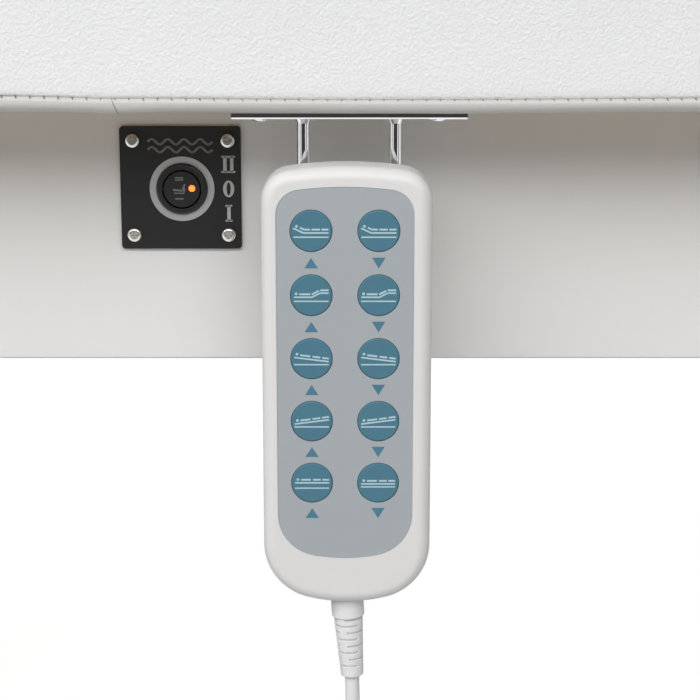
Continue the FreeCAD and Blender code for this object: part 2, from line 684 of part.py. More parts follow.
def frame_ears():
    """The hanging ears of the top frame: round bores at the head pivot, long slots at the foot pivot."""
    parts = []
    cutters = []
    for x, reach, radius in ((-COLUMN_X, 0, PIVOT_R + RUN), (COLUMN_X, SLOT_SHIFT, PIVOT_R + SLOT_PLAY)):
        for side in (-1, 1):
            y0, y1 = span(side, FRAME_EAR_Y, FRAME_EAR_Y + FRAME_EAR_T)
            parts += [eye_ear(cx, PIVOT_Z, FRAME_EYE_R, RAIL_BOTTOM_Z + 1, y0, y1) for cx in (x, x + reach)]
            cutters += [rod(cx, y0 - 1, PIVOT_Z, (0, 1, 0), radius, FRAME_EAR_T + 2) for cx in (x, x + reach)]
            if reach:
                parts.append(box(x, x + reach, y0, y1, PIVOT_Z - FRAME_EYE_R, PIVOT_Z))
                cutters.append(box(x, x + reach, y0 - 1, y1 + 1, PIVOT_Z - radius, PIVOT_Z + radius))
    return parts, cutters


def link_ears():
    """The ears and studs that carry the rear ends of the calf links, on the seat's last cross tube."""
    parts = []
    z = HINGE_Z - LINK_DROP
    for side in (-1, 1):
        y0, y1 = span(side, LINK_Y - 2 - LINK_T, LINK_Y - 2)
        parts.append(box(SEAT_CROSS_X[1][0] + 8, SEAT_END, y0, y1, z - 10, RAIL_TOP_Z + 6))
        parts.append(rod(SEAT_END, y0, z, (0, 1, 0), 10, LINK_T))
        y0, y1 = span(side, LINK_Y - 2 - LINK_T, LINK_Y + LINK_T + 2)
        parts.append(rod(SEAT_END, y0, z, (0, 1, 0), LINK_PIN_R, y1 - y0))
    return parts


def make_top_frame():
    """The welded top frame with every fixed ear, arm, beam and rest."""
    ears, slots = frame_ears()
    parts = frame_blocks() + ears + link_ears()
    parts += actuator_mount(BACK_REAR, BACK_ACTUATOR_Y, 5.0) + actuator_mount(LEG_REAR, LEG_ACTUATOR_Y, -5.0)
    for x in (BACK_END, SEAT_END):
        parts += hinge_arms(x, True) + hinge_pins(x)
    return weld(frame_tubes(), parts, slots)


def make_side_apron(side, holes):
    """A long white side board with small rounded outer edges."""
    y0, y1 = span(side, APRON_IN_Y, APRON_Y)
    board = box(-APRON_X, APRON_X, y0, y1, APRON_BOTTOM_Z, APRON_TOP_Z)
    return less(board.makeFillet(1.2, edges_where(board, lambda p: near(p.y, side * APRON_Y))), holes)


def make_end_aprons():
    """The two end boards, between the side boards."""
    boards = []
    for side in (-1, 1):
        x0, x1 = span(side, APRON_IN_X, APRON_X)
        boards.append(box(x0, x1, -APRON_IN_Y, APRON_IN_Y, APRON_BOTTOM_Z, APRON_TOP_Z))
    return boards


# Sections


def section_ends(x0, x1):
    """The cushion's two end planes, with half a gap taken off at every joint between sections."""
    return x0 + (0 if near(x0, HEAD_X) else HALF_GAP), x1 - (0 if near(x1, FOOT_X) else HALF_GAP)


def make_cushion(x0, x1, hinges, holes=()):
    """An upholstered block with a wide rounding at hinged ends, a board pocket and notches for hinge arms."""
    a, b = section_ends(x0, x1)
    half = WIDTH / 2
    ra = EDGE_R if x0 in hinges else SIDE_R + 4
    rb = EDGE_R if x1 in hinges else SIDE_R + 4
    k = 1 - math.sqrt(0.5)
    points = {name: V(x, -half, z) for name, x, z in (
        ("low_a", a, UNDERSIDE_Z), ("side_a", a, TOP_Z - ra), ("mid_a", a + k * ra, TOP_Z - k * ra),
        ("top_a", a + ra, TOP_Z), ("top_b", b - rb, TOP_Z), ("mid_b", b - k * rb, TOP_Z - k * rb),
        ("side_b", b, TOP_Z - rb), ("low_b", b, UNDERSIDE_Z))}
    lines = [Part.makeLine(points[p], points[q]) for p, q in (("low_a", "side_a"), ("top_a", "top_b"),
                                                           ("side_b", "low_b"), ("low_b", "low_a"))]
    arcs = [Part.Arc(points["side_a"], points["mid_a"], points["top_a"]).toShape(),
            Part.Arc(points["top_b"], points["mid_b"], points["side_b"]).toShape()]
    outline = Part.Wire([lines[0], arcs[0], lines[1], arcs[1], lines[2], lines[3]])
    block = Part.Face(outline).extrude(V(0, WIDTH, 0))
    rim = [e for e in block.Edges if near(e.BoundBox.YLength, 0) and e.BoundBox.ZMax > UNDERSIDE_Z + 1]
    block = block.makeFillet(SIDE_R, rim)
    block = block.makeFillet(BOTTOM_R, edges_where(block, lambda p: near(p.z, UNDERSIDE_Z)))
    pocket = box(a + BOARD_INSET, b - BOARD_INSET, -half + BOARD_INSET, half - BOARD_INSET,
                 UNDERSIDE_Z - 1, UNDERSIDE_Z + BOARD_T)
    cutters = [pocket] + list(holes)
    for x in hinges:
        end, inward = (a, 1) if x == x0 else (b, -1)
        n0, n1 = sorted((end - inward, end + inward * BOARD_INSET))
        for side in (-1, 1):
            y0, y1 = span(side, ARM_Y - 2, ARM_Y + 2 * HINGE_ARM_T + HINGE_ARM_GAP + 2)
            cutters.append(box(n0, n1, y0, y1, UNDERSIDE_Z - 1, HINGE_Z + HINGE_EYE_R + 2))
    return less(block, cutters)


def make_board(x0, x1, holes=()):
    """The plywood board in a cushion's pocket."""
    a, b = section_ends(x0, x1)
    inset = BOARD_INSET + FIT
    return less(box(a + inset, b - inset, -WIDTH / 2 + inset, WIDTH / 2 - inset, UNDERSIDE_Z,
                    UNDERSIDE_Z + BOARD_T),
                holes)


def mat(x0, x1, grow=0.0):
    """The flat block of a heating mat, or of the cavity round it."""
    top = TOP_Z - MAT_DEPTH
    half = WIDTH / 2 - MAT_MARGIN + grow
    return box(x0 - grow, x1 + grow, -half, half, top - MAT_T, top)


def face_opening(grow, z0, z1):
    """An upright block with the long round outline of the face opening, made larger by grow."""
    r = HOLE_WIDTH / 2 + grow
    run = HOLE_LENGTH / 2 - HOLE_WIDTH / 2
    middle = box(HOLE_X - run, HOLE_X + run, -r, r, z0, z1)
    return join([middle] + [rod(HOLE_X + side * run, 0, z0, (0, 0, 1), r, z1 - z0) for side in (-1, 1)])


def make_face_plug():
    """The removable foam plug of the face opening, standing on the board's ledge."""
    plug = face_opening(-PLUG_CLEARANCE, UNDERSIDE_Z + BOARD_T, TOP_Z)
    return plug.makeFillet(HOLE_ROUND, edges_where(plug, lambda p: near(p.z, TOP_Z)))


def round_opening(cushion):
    """The back cushion with its face opening's upper edge rounded."""
    reach = HOLE_LENGTH / 2 + 1
    rim = [e for e in cushion.Edges if near(e.BoundBox.ZMin, TOP_Z) and near(e.BoundBox.ZMax, TOP_Z)
           and abs(e.CenterOfMass.x - HOLE_X) < reach and abs(e.CenterOfMass.y) < HOLE_WIDTH / 2 + 1]
    return cushion.makeFillet(HOLE_ROUND, rim)


def section_frame(x0, x1, crosses):
    """The tubes of one moving section, as pairs of outside and bore."""
    tubes = []
    for side in (-1, 1):
        y0, y1 = span(side, SECTION_TUBE_Y, SECTION_TUBE_Y + SECTION_TUBE)
        tubes.append(tube(x0, x1, y0, y1, SECTION_Z, UNDERSIDE_Z, "x"))
    return tubes + [cross_tube(x, x + SECTION_CROSS, SECTION_TUBE_Y, SECTION_Z, UNDERSIDE_Z) for x in crosses]


def make_back_frame():
    """The back's frame with its bored hinge arms and the slotted lever of the back actuator."""
    y0, y1 = BACK_ACTUATOR_Y - LEVER_T / 2, BACK_ACTUATOR_Y + LEVER_T / 2
    x, z = BACK_ROD_PIN
    slot = slot_xz(x, z + BACK_SLOT[0], z + BACK_SLOT[1], BACK_SLOT[2], y0 - 1, y1 + 1)
    tubes = section_frame(-FRAME_X, BACK_END - TUBE_SETBACK,
                          (BACK_END - TUBE_SETBACK - SECTION_CROSS, HOLE_X + HOLE_LENGTH / 2 + HOLE_TO_TUBE))
    return weld(tubes,
                hinge_arms(BACK_END, False) + [plate_xz(from_end(BACK_END, BACK_LEVER_POINTS), y0, y1)],
                hinge_bores(BACK_END) + [slot])


def calf_hinge_ears():
    """The thigh's two low ears with their studs for the calf."""
    parts = []
    for side in (-1, 1):
        y0, y1 = span(side, ARM_Y, ARM_Y + HINGE_ARM_T)
        parts.append(box(THIGH_END - ARM_FOOT, THIGH_END, y0, y1, CALF_HINGE_Z - HINGE_EYE_R,
                         CALF_HINGE_Z + HINGE_EYE_R))
        parts.append(rod(THIGH_END, y0, CALF_HINGE_Z, (0, 1, 0), HINGE_EYE_R, HINGE_ARM_T))
        y0, y1 = span(side, ARM_Y, ARM_Y + 2 * HINGE_ARM_T + 2 * HINGE_ARM_GAP)
        parts.append(rod(THIGH_END, y0, CALF_HINGE_Z, (0, 1, 0), HINGE_PIN_R, y1 - y0))
    return parts


def make_thigh_frame():
    """The thigh's frame with its raised arms, the slotted lever of the leg actuator and the calf's studs."""
    y0, y1 = LEG_ACTUATOR_Y - LEVER_T / 2, LEG_ACTUATOR_Y + LEVER_T / 2
    x, z = LEG_ROD_PIN
    slot = slot_xz(x, z + LEG_SLOT[0], z + LEG_SLOT[1], LEG_SLOT[2], y0 - 1, y1 + 1)
    tubes = section_frame(SEAT_END + TUBE_SETBACK, THIGH_END - TUBE_SETBACK,
                          (SEAT_END + THIGH_CROSS_FROM, THIGH_END - TUBE_SETBACK - SECTION_CROSS))
    parts = hinge_arms(SEAT_END,
                       False) + calf_hinge_ears() + [plate_xz(from_end(SEAT_END, LEG_LEVER_POINTS), y0, y1)]
    return weld(tubes, parts, hinge_bores(SEAT_END) + [slot])


def make_calf_frame():
    """The calf's frame with its low hinge plates and the two levers of the calf links."""
    middle = (THIGH_END + FRAME_X) / 2 - CALF_CROSS_SHIFT
    tubes = section_frame(THIGH_END + TUBE_SETBACK, FRAME_X,
                          (THIGH_END + TUBE_SETBACK, middle, FRAME_X - SECTION_CROSS))
    parts = []
    low, high = CALF_HINGE_Z - HINGE_EYE_R, CALF_HINGE_Z + HINGE_EYE_R
    link_z = CALF_HINGE_Z - LINK_DROP
    cutters = []
    for side in (-1, 1):
        y0, y1 = span(side, ARM_Y, ARM_Y + HINGE_ARM_T + HINGE_ARM_GAP)
        parts.append(box(THIGH_END + CALF_EAR[0], THIGH_END + CALF_EAR[1], y0, y1, low, high))
        y0, y1 = span(side, ARM_Y + HINGE_ARM_T + HINGE_ARM_GAP, ARM_Y + 2 * HINGE_ARM_T + HINGE_ARM_GAP)
        parts.append(box(THIGH_END, THIGH_END + CALF_EAR[1], y0, y1, low, high))
        parts.append(rod(THIGH_END, y0, CALF_HINGE_Z, (0, 1, 0), HINGE_EYE_R, HINGE_ARM_T))
        cutters.append(rod(THIGH_END, y0 - 1, CALF_HINGE_Z, (0, 1, 0), HINGE_PIN_R + RUN, HINGE_ARM_T + 2))
        y0, y1 = span(side, LINK_Y - 2 - LINK_T, LINK_Y - 2)
        parts.append(plate_xz(from_end(THIGH_END, CALF_LEVER_POINTS), y0, y1))
        parts.append(rod(THIGH_END, y0, link_z, (0, 1, 0), 12, LINK_T))
        y0, y1 = span(side, LINK_Y - 2 - LINK_T, LINK_Y + LINK_T + 2)
        parts.append(rod(THIGH_END, y0, link_z, (0, 1, 0), LINK_PIN_R, y1 - y0))
    return weld(tubes, parts, cutters)


def make_leg_link():
    """The two bars that keep the calf level while the thigh rises."""
    bars = []
    ends = ((SEAT_END, HINGE_Z - LINK_DROP, RUN), (THIGH_END, CALF_HINGE_Z - LINK_DROP, LINK_PLAY))
    slope = math.atan2(ends[1][1] - ends[0][1], THIGH_LENGTH)
    nx, nz = -math.sin(slope) * LINK_HALF_W, math.cos(slope) * LINK_HALF_W
    outline = [(x + s * nx, z + s * nz) for (x, z, play), s in zip(ends + ends[::-1], (1, 1, -1, -1))]
    for side in (-1, 1):
        y0, y1 = span(side, LINK_Y, LINK_Y + LINK_T)
        bar = [plate_xz(outline, y0, y1)] + [rod(x, y0, z, (0, 1, 0), LINK_HALF_W + 1, LINK_T) for x, z,
                                             play in ends]
        bars.append(less(join(bar), [rod(x, y0 - 1, z, (0, 1, 0), LINK_PIN_R + play, LINK_T + 2)
                                     for x, z, play in ends]))
    return bars


# Actuators


def along(pivot, tip, y, shape):
    """A shape drawn along +X from the origin, turned and moved onto the line from a pivot to a tip."""
    (px, pz), (tx, tz) = pivot, tip
    angle = -math.degrees(math.atan2(tz - pz, tx - px))
    turned = shape.copy()
    turned.rotate(V(0, 0, 0), V(0, 1, 0), angle)
    turned.translate(V(px, y, pz))
    return turned


def actuator_sizes(pivot, tip, gap):
    """The pivot distance, and the end of the outer tube that leaves room for the rod's fork."""
    reach = math.hypot(tip[0] - pivot[0], tip[1] - pivot[1])
    return reach, reach - gap - FORK_ROOT - 4


def make_actuator(pivot, tip, y, gap, motor_side):
    """The body of a linear actuator: rear eye, gearbox, side motor and bored tube."""
    reach, tube_end = actuator_sizes(pivot, tip, gap)
    x = (1, 0, 0)
    eye = join([rod(0, -EYE_HALF, 0, (0, 1, 0), EYE_R, 2 * EYE_HALF),
                box(0, GEARBOX_X[0] + 1, -EYE_HALF, EYE_HALF, -9, 9)])
    gearbox = box(GEARBOX_X[0], GEARBOX_X[1], -GEARBOX_HALF_Y, GEARBOX_HALF_Y, -GEARBOX_HALF_Z,
                  GEARBOX_HALF_Z)
    s0, s1 = sorted((0, motor_side * (MOTOR_OFFSET + MOTOR_R)))
    transfer = box(GEARBOX_X[0], GEARBOX_X[0] + 24, s0, s1, -GEARBOX_HALF_Z, GEARBOX_HALF_Z)
    shell = join([gearbox, transfer])
    shell = shell.makeFillet(3,
                             [e for e in shell.Edges if near(e.BoundBox.YLength, 0)
                              and near(e.BoundBox.ZLength, 0)])
    motor = rod(GEARBOX_X[0] + 23, motor_side * MOTOR_OFFSET, 0, x, MOTOR_R - 0.5, MOTOR_LENGTH)
    tube_body = rod(GEARBOX_X[1] - 1, 0, 0, x, TUBE_R, tube_end - GEARBOX_X[1] + 1)
    collar = rod(tube_end - 8, 0, 0, x, TUBE_R + 2, 8)
    bore = rod(BORE_START, 0, 0, x, ROD_R + FIT, tube_end)
    pin = rod(0, -EYE_HALF - 1, 0, (0, 1, 0), REAR_PIN_R + RUN, 2 * EYE_HALF + 2)
    return along(pivot, tip, y, less(join([shell, eye, motor, tube_body, collar]), [bore, pin]))


def make_actuator_rod(pivot, tip, y, gap):
    """The rod of a linear actuator, with the fork and cross pin at its tip."""
    reach = actuator_sizes(pivot, tip, gap)[0]
    root = reach - gap - FORK_ROOT
    shaft = rod(BORE_START + 4, 0, 0, (1, 0, 0), ROD_R, root - BORE_START - 3)
    fork = box(root, reach, -FORK_HALF_Y, FORK_HALF_Y, -FORK_HALF_Z, FORK_HALF_Z)
    nose = rod(reach, -FORK_HALF_Y, 0, (0, 1, 0), FORK_HALF_Z, 2 * FORK_HALF_Y)
    opening = box(root + FORK_ROOT, reach + FORK_HALF_Z + 1, -FORK_GAP / 2, FORK_GAP / 2, -FORK_HALF_Z - 1,
                  FORK_HALF_Z + 1)
    pin = rod(reach, -FORK_HALF_Y - 2, 0, (0, 1, 0), ROD_PIN_R, 2 * FORK_HALF_Y + 4)
    return along(pivot, tip, y, join([join([shaft, fork, nose]).cut(opening), pin]))


# Handset


def outline_side(half, z_end, big_r, corner_r, sign):
    """The points of one bowed end of an outline: left side, left join, apex, right join, right side."""
    big_z = z_end - sign * big_r
    corner_x = half - corner_r
    corner_z = big_z + sign * math.sqrt((big_r - corner_r) ** 2 - corner_x ** 2)
    scale = big_r / (big_r - corner_r)
    join_x, join_z = corner_x * scale, big_z + (corner_z - big_z) * scale
    mid_angle = (math.atan2(sign * (corner_z - big_z), corner_x)) / 2
    mid_x, mid_z = corner_x + corner_r * math.cos(mid_angle), corner_z + sign * corner_r * math.sin(mid_angle)
    return {"side": (half, corner_z), "mid": (mid_x, mid_z), "join": (join_x, join_z), "apex": (0, z_end)}


def bowed_block(x, width, z_top, z_bottom, radii, y0, y1):
    """A block with straight sides, bowed ends and round corners, between two Y planes."""
    half = width / 2
    top = outline_side(half, z_top, radii[0], radii[1], 1)
    low = outline_side(half, z_bottom, radii[2], radii[3], -1)

    def at(point, mirror=1):
        return V(x + mirror * point[0], y0, point[1])

    edges = [Part.Arc(at(top["join"], -1), at(top["apex"]), at(top["join"])).toShape(),
             Part.Arc(at(top["join"]), at(top["mid"]), at(top["side"])).toShape(),
             Part.makeLine(at(top["side"]), at(low["side"])),
             Part.Arc(at(low["side"]), at(low["mid"]), at(low["join"])).toShape(),
             Part.Arc(at(low["join"]), at(low["apex"]), at(low["join"], -1)).toShape(),
             Part.Arc(at(low["join"], -1), at(low["mid"], -1), at(low["side"], -1)).toShape(),
             Part.makeLine(at(low["side"], -1), at(top["side"], -1)),
             Part.Arc(at(top["side"], -1), at(top["mid"], -1), at(top["join"], -1)).toShape()]
    return Part.Face(Part.Wire(edges)).extrude(V(0, y1 - y0, 0))


def handset_block(inset, y0, y1):
    """A block with the handset's outline, made smaller by an inset."""
    radii = [r - inset for r in HANDSET_RADII]
    return bowed_block(HANDSET_X, HANDSET_W - 2 * inset, HANDSET_TOP_Z - inset, HANDSET_BOTTOM_Z + inset,
                       radii, y0, y1)


def label_block(grow, y0, y1):
    """A block with the outline of the front label, made larger by grow."""
    radii = [r + grow for r in LABEL_RADII]
    top = HANDSET_TOP_Z - LABEL_TOP
    return bowed_block(FACE_X, LABEL_W + 2 * grow, top + grow, top - LABEL_H - grow, radii, y0, y1)


def key_places():
    """The name and centre of each key, in rows from the top, left then right."""
    first = HANDSET_TOP_Z - KEY_FIRST
    return [(KEY_NAMES[row][col], FACE_X + (col - 0.5) * KEY_PITCH_X, first - row * KEY_PITCH_Z)
            for row in range(len(KEY_NAMES)) for col in (0, 1)]


def key_bores(radius, y0, y1):
    """A bore for every key, between two Y planes."""
    return [rod(x, y0, z, (0, 1, 0), radius, y1 - y0) for name, x, z in key_places()]


def make_front_shell():
    """The handset's front shell, with the label's shallow pocket and the key holes."""
    front, back = HANDSET_FRONT_Y, HANDSET_FRONT_Y + FRONT_SHELL_T
    shell = handset_block(0, front, back)
    shell = shell.makeFillet(SHELL_ROUND, edges_where(shell, lambda p: near(p.y, front)))
    cutters = [handset_block(SHELL_WALL, front + FRONT_WALL, back + 1),
               label_block(0.1, front - 1, front + POCKET)]
    cutters += key_bores(KEY_R + KEY_FIT, front, front + FRONT_WALL + 1)
    return less(shell, cutters + [relief_neck(RUN)])


def make_rear_shell():
    """The handset's rear shell, with posts for the circuit board and the hook that rides on the hanger."""
    front, back = HANDSET_FRONT_Y + FRONT_SHELL_T, HANDSET_FRONT_Y + HANDSET_T
    shell = handset_block(0, front, back)
    shell = shell.makeFillet(SHELL_ROUND, edges_where(shell, lambda p: near(p.y, back)))
    shell = shell.cut(handset_block(SHELL_WALL, front - 1, back - SHELL_WALL))
    hook_x0, hook_x1 = HANGER_X - HOOK_W / 2, HANGER_X + HOOK_W / 2
    bar_top = LOOP_BAR_Z + LOOP_R + FIT
    lip = LOOP_Y + LOOP_R + FIT
    parts = [box(hook_x0, hook_x1, back - 1, LOOP_Y - LOOP_R - FIT, HOOK_Z0, bar_top + HOOK_T),
             box(hook_x0, hook_x1, back - 1, lip + HOOK_T, bar_top, bar_top + HOOK_T),
             box(hook_x0, hook_x1, lip, lip + HOOK_T, HOOK_Z0, bar_top + HOOK_T)]
    hook = join(parts)
    hook = hook.makeFillet(1.2, [e for e in hook.Edges if near(e.BoundBox.XLength, HOOK_W)
                                 and near(e.CenterOfMass.y, lip + HOOK_T)])
    posts = [rod(HANDSET_X + sx * POST_X, BOARD_Y + BOARD_THIN, z, (0, 1, 0), 2.5,
                 back - SHELL_WALL - BOARD_Y - BOARD_THIN + 1)
             for sx in (-1, 1) for z in (HANDSET_TOP_Z - 30, HANDSET_BOTTOM_Z + 50)]
    return join([shell, hook] + posts).cut(relief_neck(RUN))


def make_overlay():
    """The thin front label of the handset with its key holes."""
    front = HANDSET_FRONT_Y + POCKET - LABEL_T
    return less(label_block(0, front, front + LABEL_T),
                key_bores(KEY_R + KEY_FIT, front - 1, front + LABEL_T + 1))


def make_circuit_board():
    """The circuit board behind the keys."""
    half = LABEL_W / 2 - 2
    return box(HANDSET_X - half, HANDSET_X + half, BOARD_Y, BOARD_Y + BOARD_THIN, HANDSET_BOTTOM_Z + 30,
               HANDSET_TOP_Z - 16)


def make_key(x, z):
    """One round key with a slightly crowned face and a flange behind the shell's front wall."""
    face = HANDSET_FRONT_Y + POCKET - LABEL_T - KEY_PROUD
    cap = rod(x, face, z, (0, 1, 0), KEY_R, HANDSET_FRONT_Y + FRONT_WALL + 0.2 - face)
    cap = cap.makeFillet(0.5,
                         [e for e in cap.Edges if near(e.BoundBox.YMin, face)
                          and near(e.BoundBox.YMax, face)])
    flange = rod(x, HANDSET_FRONT_Y + FRONT_WALL + 0.1, z, (0, 1, 0), KEY_R + 1, KEY_FLANGE_T)
    return join([cap, flange])


def relief_neck(clearance):
    """The round neck that passes from the strain relief into the handset."""
    return rod(HANDSET_X, RELIEF_Y, HANDSET_BOTTOM_Z - 1, (0, 0, 1), NECK_R + clearance, SHELL_WALL + 3)


def relief_groove(z, radius, turn):
    """A groove round the upright sleeve, with two bridges left across it along a line at the angle turn."""
    half, core = RIB_GAP / 2, radius - RIB_DEPTH
    outline = [V(core, 0, z - half), V(radius + 1, 0, z - half - RIB_FLARE),
               V(radius + 1, 0, z + half + RIB_FLARE),
               V(core, 0, z + half), V(core, 0, z - half)]
    ring = Part.Face(Part.makePolygon(outline)).revolve(V(0, 0, 0), V(0, 0, 1), 360)
    bridges = box(-radius - 2, radius + 2, -BRIDGE_W / 2, BRIDGE_W / 2, z - RIB_GAP * 2, z + RIB_GAP * 2)
    bridges.rotate(V(0, 0, 0), V(0, 0, 1), turn)
    return ring.cut(bridges)


def relief_sleeve():
    """The outside of the strain relief, upright under the origin: a collar, then ribs down to the tip."""
    collar = rod(0, 0, -COLLAR_LENGTH, (0, 0, 1), RELIEF_R, COLLAR_LENGTH + 1)
    collar = collar.makeFillet(0.8, [e for e in collar.Edges if near(e.BoundBox.ZMax, -COLLAR_LENGTH)])
    tip = rod(0, 0, -RELIEF_LENGTH, (0, 0, 1), RELIEF_TIP_R, 2)
    tip = tip.makeFillet(0.8, [e for e in tip.Edges if near(e.BoundBox.ZMax, -RELIEF_LENGTH)])
    root_r = RELIEF_R - 0.3
    cone = Part.makeCone(root_r, RELIEF_TIP_R, RELIEF_LENGTH - 1, V(0, 0, 0), V(0, 0, -1))
    sleeve = join([collar, cone, tip])
    for i in range(RIBS):
        depth = COLLAR_LENGTH + RIB_GAP / 2 + i * RIB_PITCH
        radius = root_r + (RELIEF_TIP_R - root_r) * depth / RELIEF_LENGTH
        sleeve = sleeve.cut(relief_groove(-depth, radius, BRIDGE_TURNS[i % 2]))
    return sleeve


def make_strain_relief():
    """The ribbed cord sleeve under the handset, leaning slightly, with its neck and inner flange."""
    bore = rod(0, 0, -RELIEF_LENGTH - 1, (0, 0, 1), CORD_R + FIT, CORD_GRIP + 3)
    sleeve = relief_sleeve().cut(bore)
    sleeve.rotate(V(0, 0, 0), V(0, 1, 0), -RELIEF_LEAN)
    sleeve.translate(V(HANDSET_X, RELIEF_Y, HANDSET_BOTTOM_Z))
    sleeve = sleeve.cut(handset_block(0, HANDSET_FRONT_Y, HANDSET_FRONT_Y + HANDSET_T))
    inner = HANDSET_BOTTOM_Z + SHELL_WALL + 0.6
    neck = rod(HANDSET_X, RELIEF_Y, HANDSET_BOTTOM_Z - 0.5, (0, 0, 1), NECK_R, inner - HANDSET_BOTTOM_Z + 1)
    flange = rod(HANDSET_X, RELIEF_Y, inner, (0, 0, 1), NECK_R + 1.6, 2)
    return join([sleeve, neck, flange])


# Hanger, switch, control box and cord


def domed_screw(x, y, z, axis, head_r, head_h, shank_r, length):
    """A cross-head screw with a domed head that stands out from a face against its axis."""
    a = V(*axis)
    start = V(x, y, z) - a * head_h
    head = Part.makeCylinder(head_r, head_h, start, a)
    tip = [e for e in head.Edges if e.CenterOfMass.sub(start).Length < 0.01 and len(e.Vertexes) == 1]
    head = head.makeFillet(head_h * 0.85, tip)
    shank = Part.makeCylinder(shank_r, length, V(x, y, z), a)
    side = V(1, 0, 0)
    other = a.cross(side)
    cross = []
    for along_arm, across_arm in ((side, other), (other, side)):
        corner = start - a - along_arm * (head_r * 0.5) - across_arm * (head_r * 0.1)
        points = [corner, corner + along_arm * head_r,
                  corner + along_arm * head_r + across_arm * (head_r * 0.2),
                  corner + across_arm * (head_r * 0.2)]
        cross.append(Part.Face(Part.makePolygon(points + [corner])).extrude(a * (1 + head_h * 0.55)))
    return less(join([head, shank]), cross)


def hanger_screw_places():
    """The centres of the two hanger screws under the seat board."""
    y = HANGER_FRONT_Y + HANGER_DEPTH / 2
    return [(HANGER_X + side * SCREW_SPAN / 2, y) for side in (-1, 1)]


def hanger_holes():
    """The holes for the hanger screws."""
    return [rod(x, y, UNDERSIDE_Z - HANGER_T - 1, (0, 0, 1), HANGER_SCREW_R + FINE, HANGER_SCREW_LENGTH + 2)
            for x, y in hanger_screw_places()]


def make_hanger_bracket():
    """The chrome hanger: a flat plate with a round wire loop welded under it."""
    top, under = UNDERSIDE_Z, UNDERSIDE_Z - HANGER_T
    plate = box(HANGER_X - HANGER_L / 2, HANGER_X + HANGER_L / 2, HANGER_FRONT_Y,
                HANGER_FRONT_Y + HANGER_DEPTH, under, top)
    plate = plate.makeFillet(0.8, [e for e in plate.Edges if near(e.BoundBox.ZLength, 0)])
    half = LOOP_SPAN / 2
    bend_x, bend_z = half - LOOP_BEND, LOOP_BAR_Z + LOOP_BEND
    k = LOOP_BEND * (1 - math.sqrt(0.5))

    def at(dx, z):
        return V(HANGER_X + dx, LOOP_Y, z)

    path = Part.Wire([Part.makeLine(at(-half, under + 1), at(-half, bend_z)),
                      Part.Arc(at(-half, bend_z), at(-half + k, LOOP_BAR_Z + k),
                               at(-bend_x, LOOP_BAR_Z)).toShape(),
                      Part.makeLine(at(-bend_x, LOOP_BAR_Z), at(bend_x, LOOP_BAR_Z)),
                      Part.Arc(at(bend_x, LOOP_BAR_Z), at(half - k, LOOP_BAR_Z + k),
                               at(half, bend_z)).toShape(),
                      Part.makeLine(at(half, bend_z), at(half, under + 1))])
    profile = Part.Wire(Part.makeCircle(LOOP_R, at(-half, under + 1), V(0, 0, 1)))
    loop = path.makePipeShell([profile], True, False)
    flares = [Part.makeCone(LOOP_R, LOOP_R + FLARE, 4, at(side * half, under - 4), V(0, 0, 1))
              for side in (-1, 1)]
    return less(join([plate, loop] + flares), hanger_holes())


def make_hanger_screws():
    """The two screws that hold the hanger under the seat board."""
    return [domed_screw(x, y, UNDERSIDE_Z - HANGER_T, (0, 0, 1), HANGER_HEAD_R, HANGER_HEAD_H, HANGER_SCREW_R,
                        HANGER_SCREW_LENGTH) for x, y in hanger_screw_places()]


def plate_screw_places():
    """The centres of the four switch plate screws."""
    half = PLATE_SCREW_SPAN / 2
    return [(PLATE_X + sx * half, PLATE_Z + sz * half) for sx in (-1, 1) for sz in (-1, 1)]


def plate_screw_holes(y0, y1):
    """The holes for the switch plate screws between two Y planes."""
    return [rod(x, y0, z, (0, 1, 0), PLATE_SCREW_R + FINE, y1 - y0) for x, z in plate_screw_places()]


def switch_hole():
    """The round hole for the switch body through the plate and the apron."""
    return rod(SWITCH_X, -APRON_Y - PLATE_T - 1, SWITCH_Z, (0, 1, 0), SWITCH_BODY_R + FINE,
               APRON_T + PLATE_T + 2)


def make_switch_plate():
    """The square plate of the heater switch on the front apron."""
    y0 = -APRON_Y - PLATE_T
    plate = box(PLATE_X - PLATE_W / 2, PLATE_X + PLATE_W / 2, y0, -APRON_Y, PLATE_Z - PLATE_H / 2,
                PLATE_Z + PLATE_H / 2)
    plate = plate.makeFillet(1.5, [e for e in plate.Edges if near(e.BoundBox.YLength, PLATE_T)])
    return less(plate, plate_screw_holes(y0 - 1, -APRON_Y + 1) + [switch_hole()])


def make_plate_screws():
    """The four screws of the switch plate."""
    return [domed_screw(x, -APRON_Y - PLATE_T, z, (0, 1, 0), PLATE_HEAD_R, PLATE_HEAD_H, PLATE_SCREW_R,
                        PLATE_SCREW_LENGTH)
            for x, z in plate_screw_places()]


def make_switch_housing():
    """The round switch body with its raised bezel, the rocker's recess and the pivot holes."""
    face = -APRON_Y - PLATE_T
    bezel = rod(SWITCH_X, face - BEZEL_T, SWITCH_Z, (0, 1, 0), SWITCH_R, BEZEL_T)
    bezel = bezel.makeFillet(0.8,
                             [e for e in bezel.Edges if near(e.BoundBox.YMax, face - BEZEL_T)
                              and len(e.Vertexes) == 1])
    body = rod(SWITCH_X, face - 0.5, SWITCH_Z, (0, 1, 0), SWITCH_BODY_R, SWITCH_BODY_LENGTH)
    recess = rod(SWITCH_X, face - BEZEL_T - 1, SWITCH_Z, (0, 1, 0), ROCKER_SPHERE_R + FIT, ROCKER_DEPTH + 1)
    pin = rod(SWITCH_X - ROCKER_PIN_HALF - 0.3, ROCKER_Y, SWITCH_Z, (1, 0, 0), ROCKER_PIN_R + RUN,
              2 * ROCKER_PIN_HALF + 0.6)
    return less(join([bezel, body]), [recess, pin])


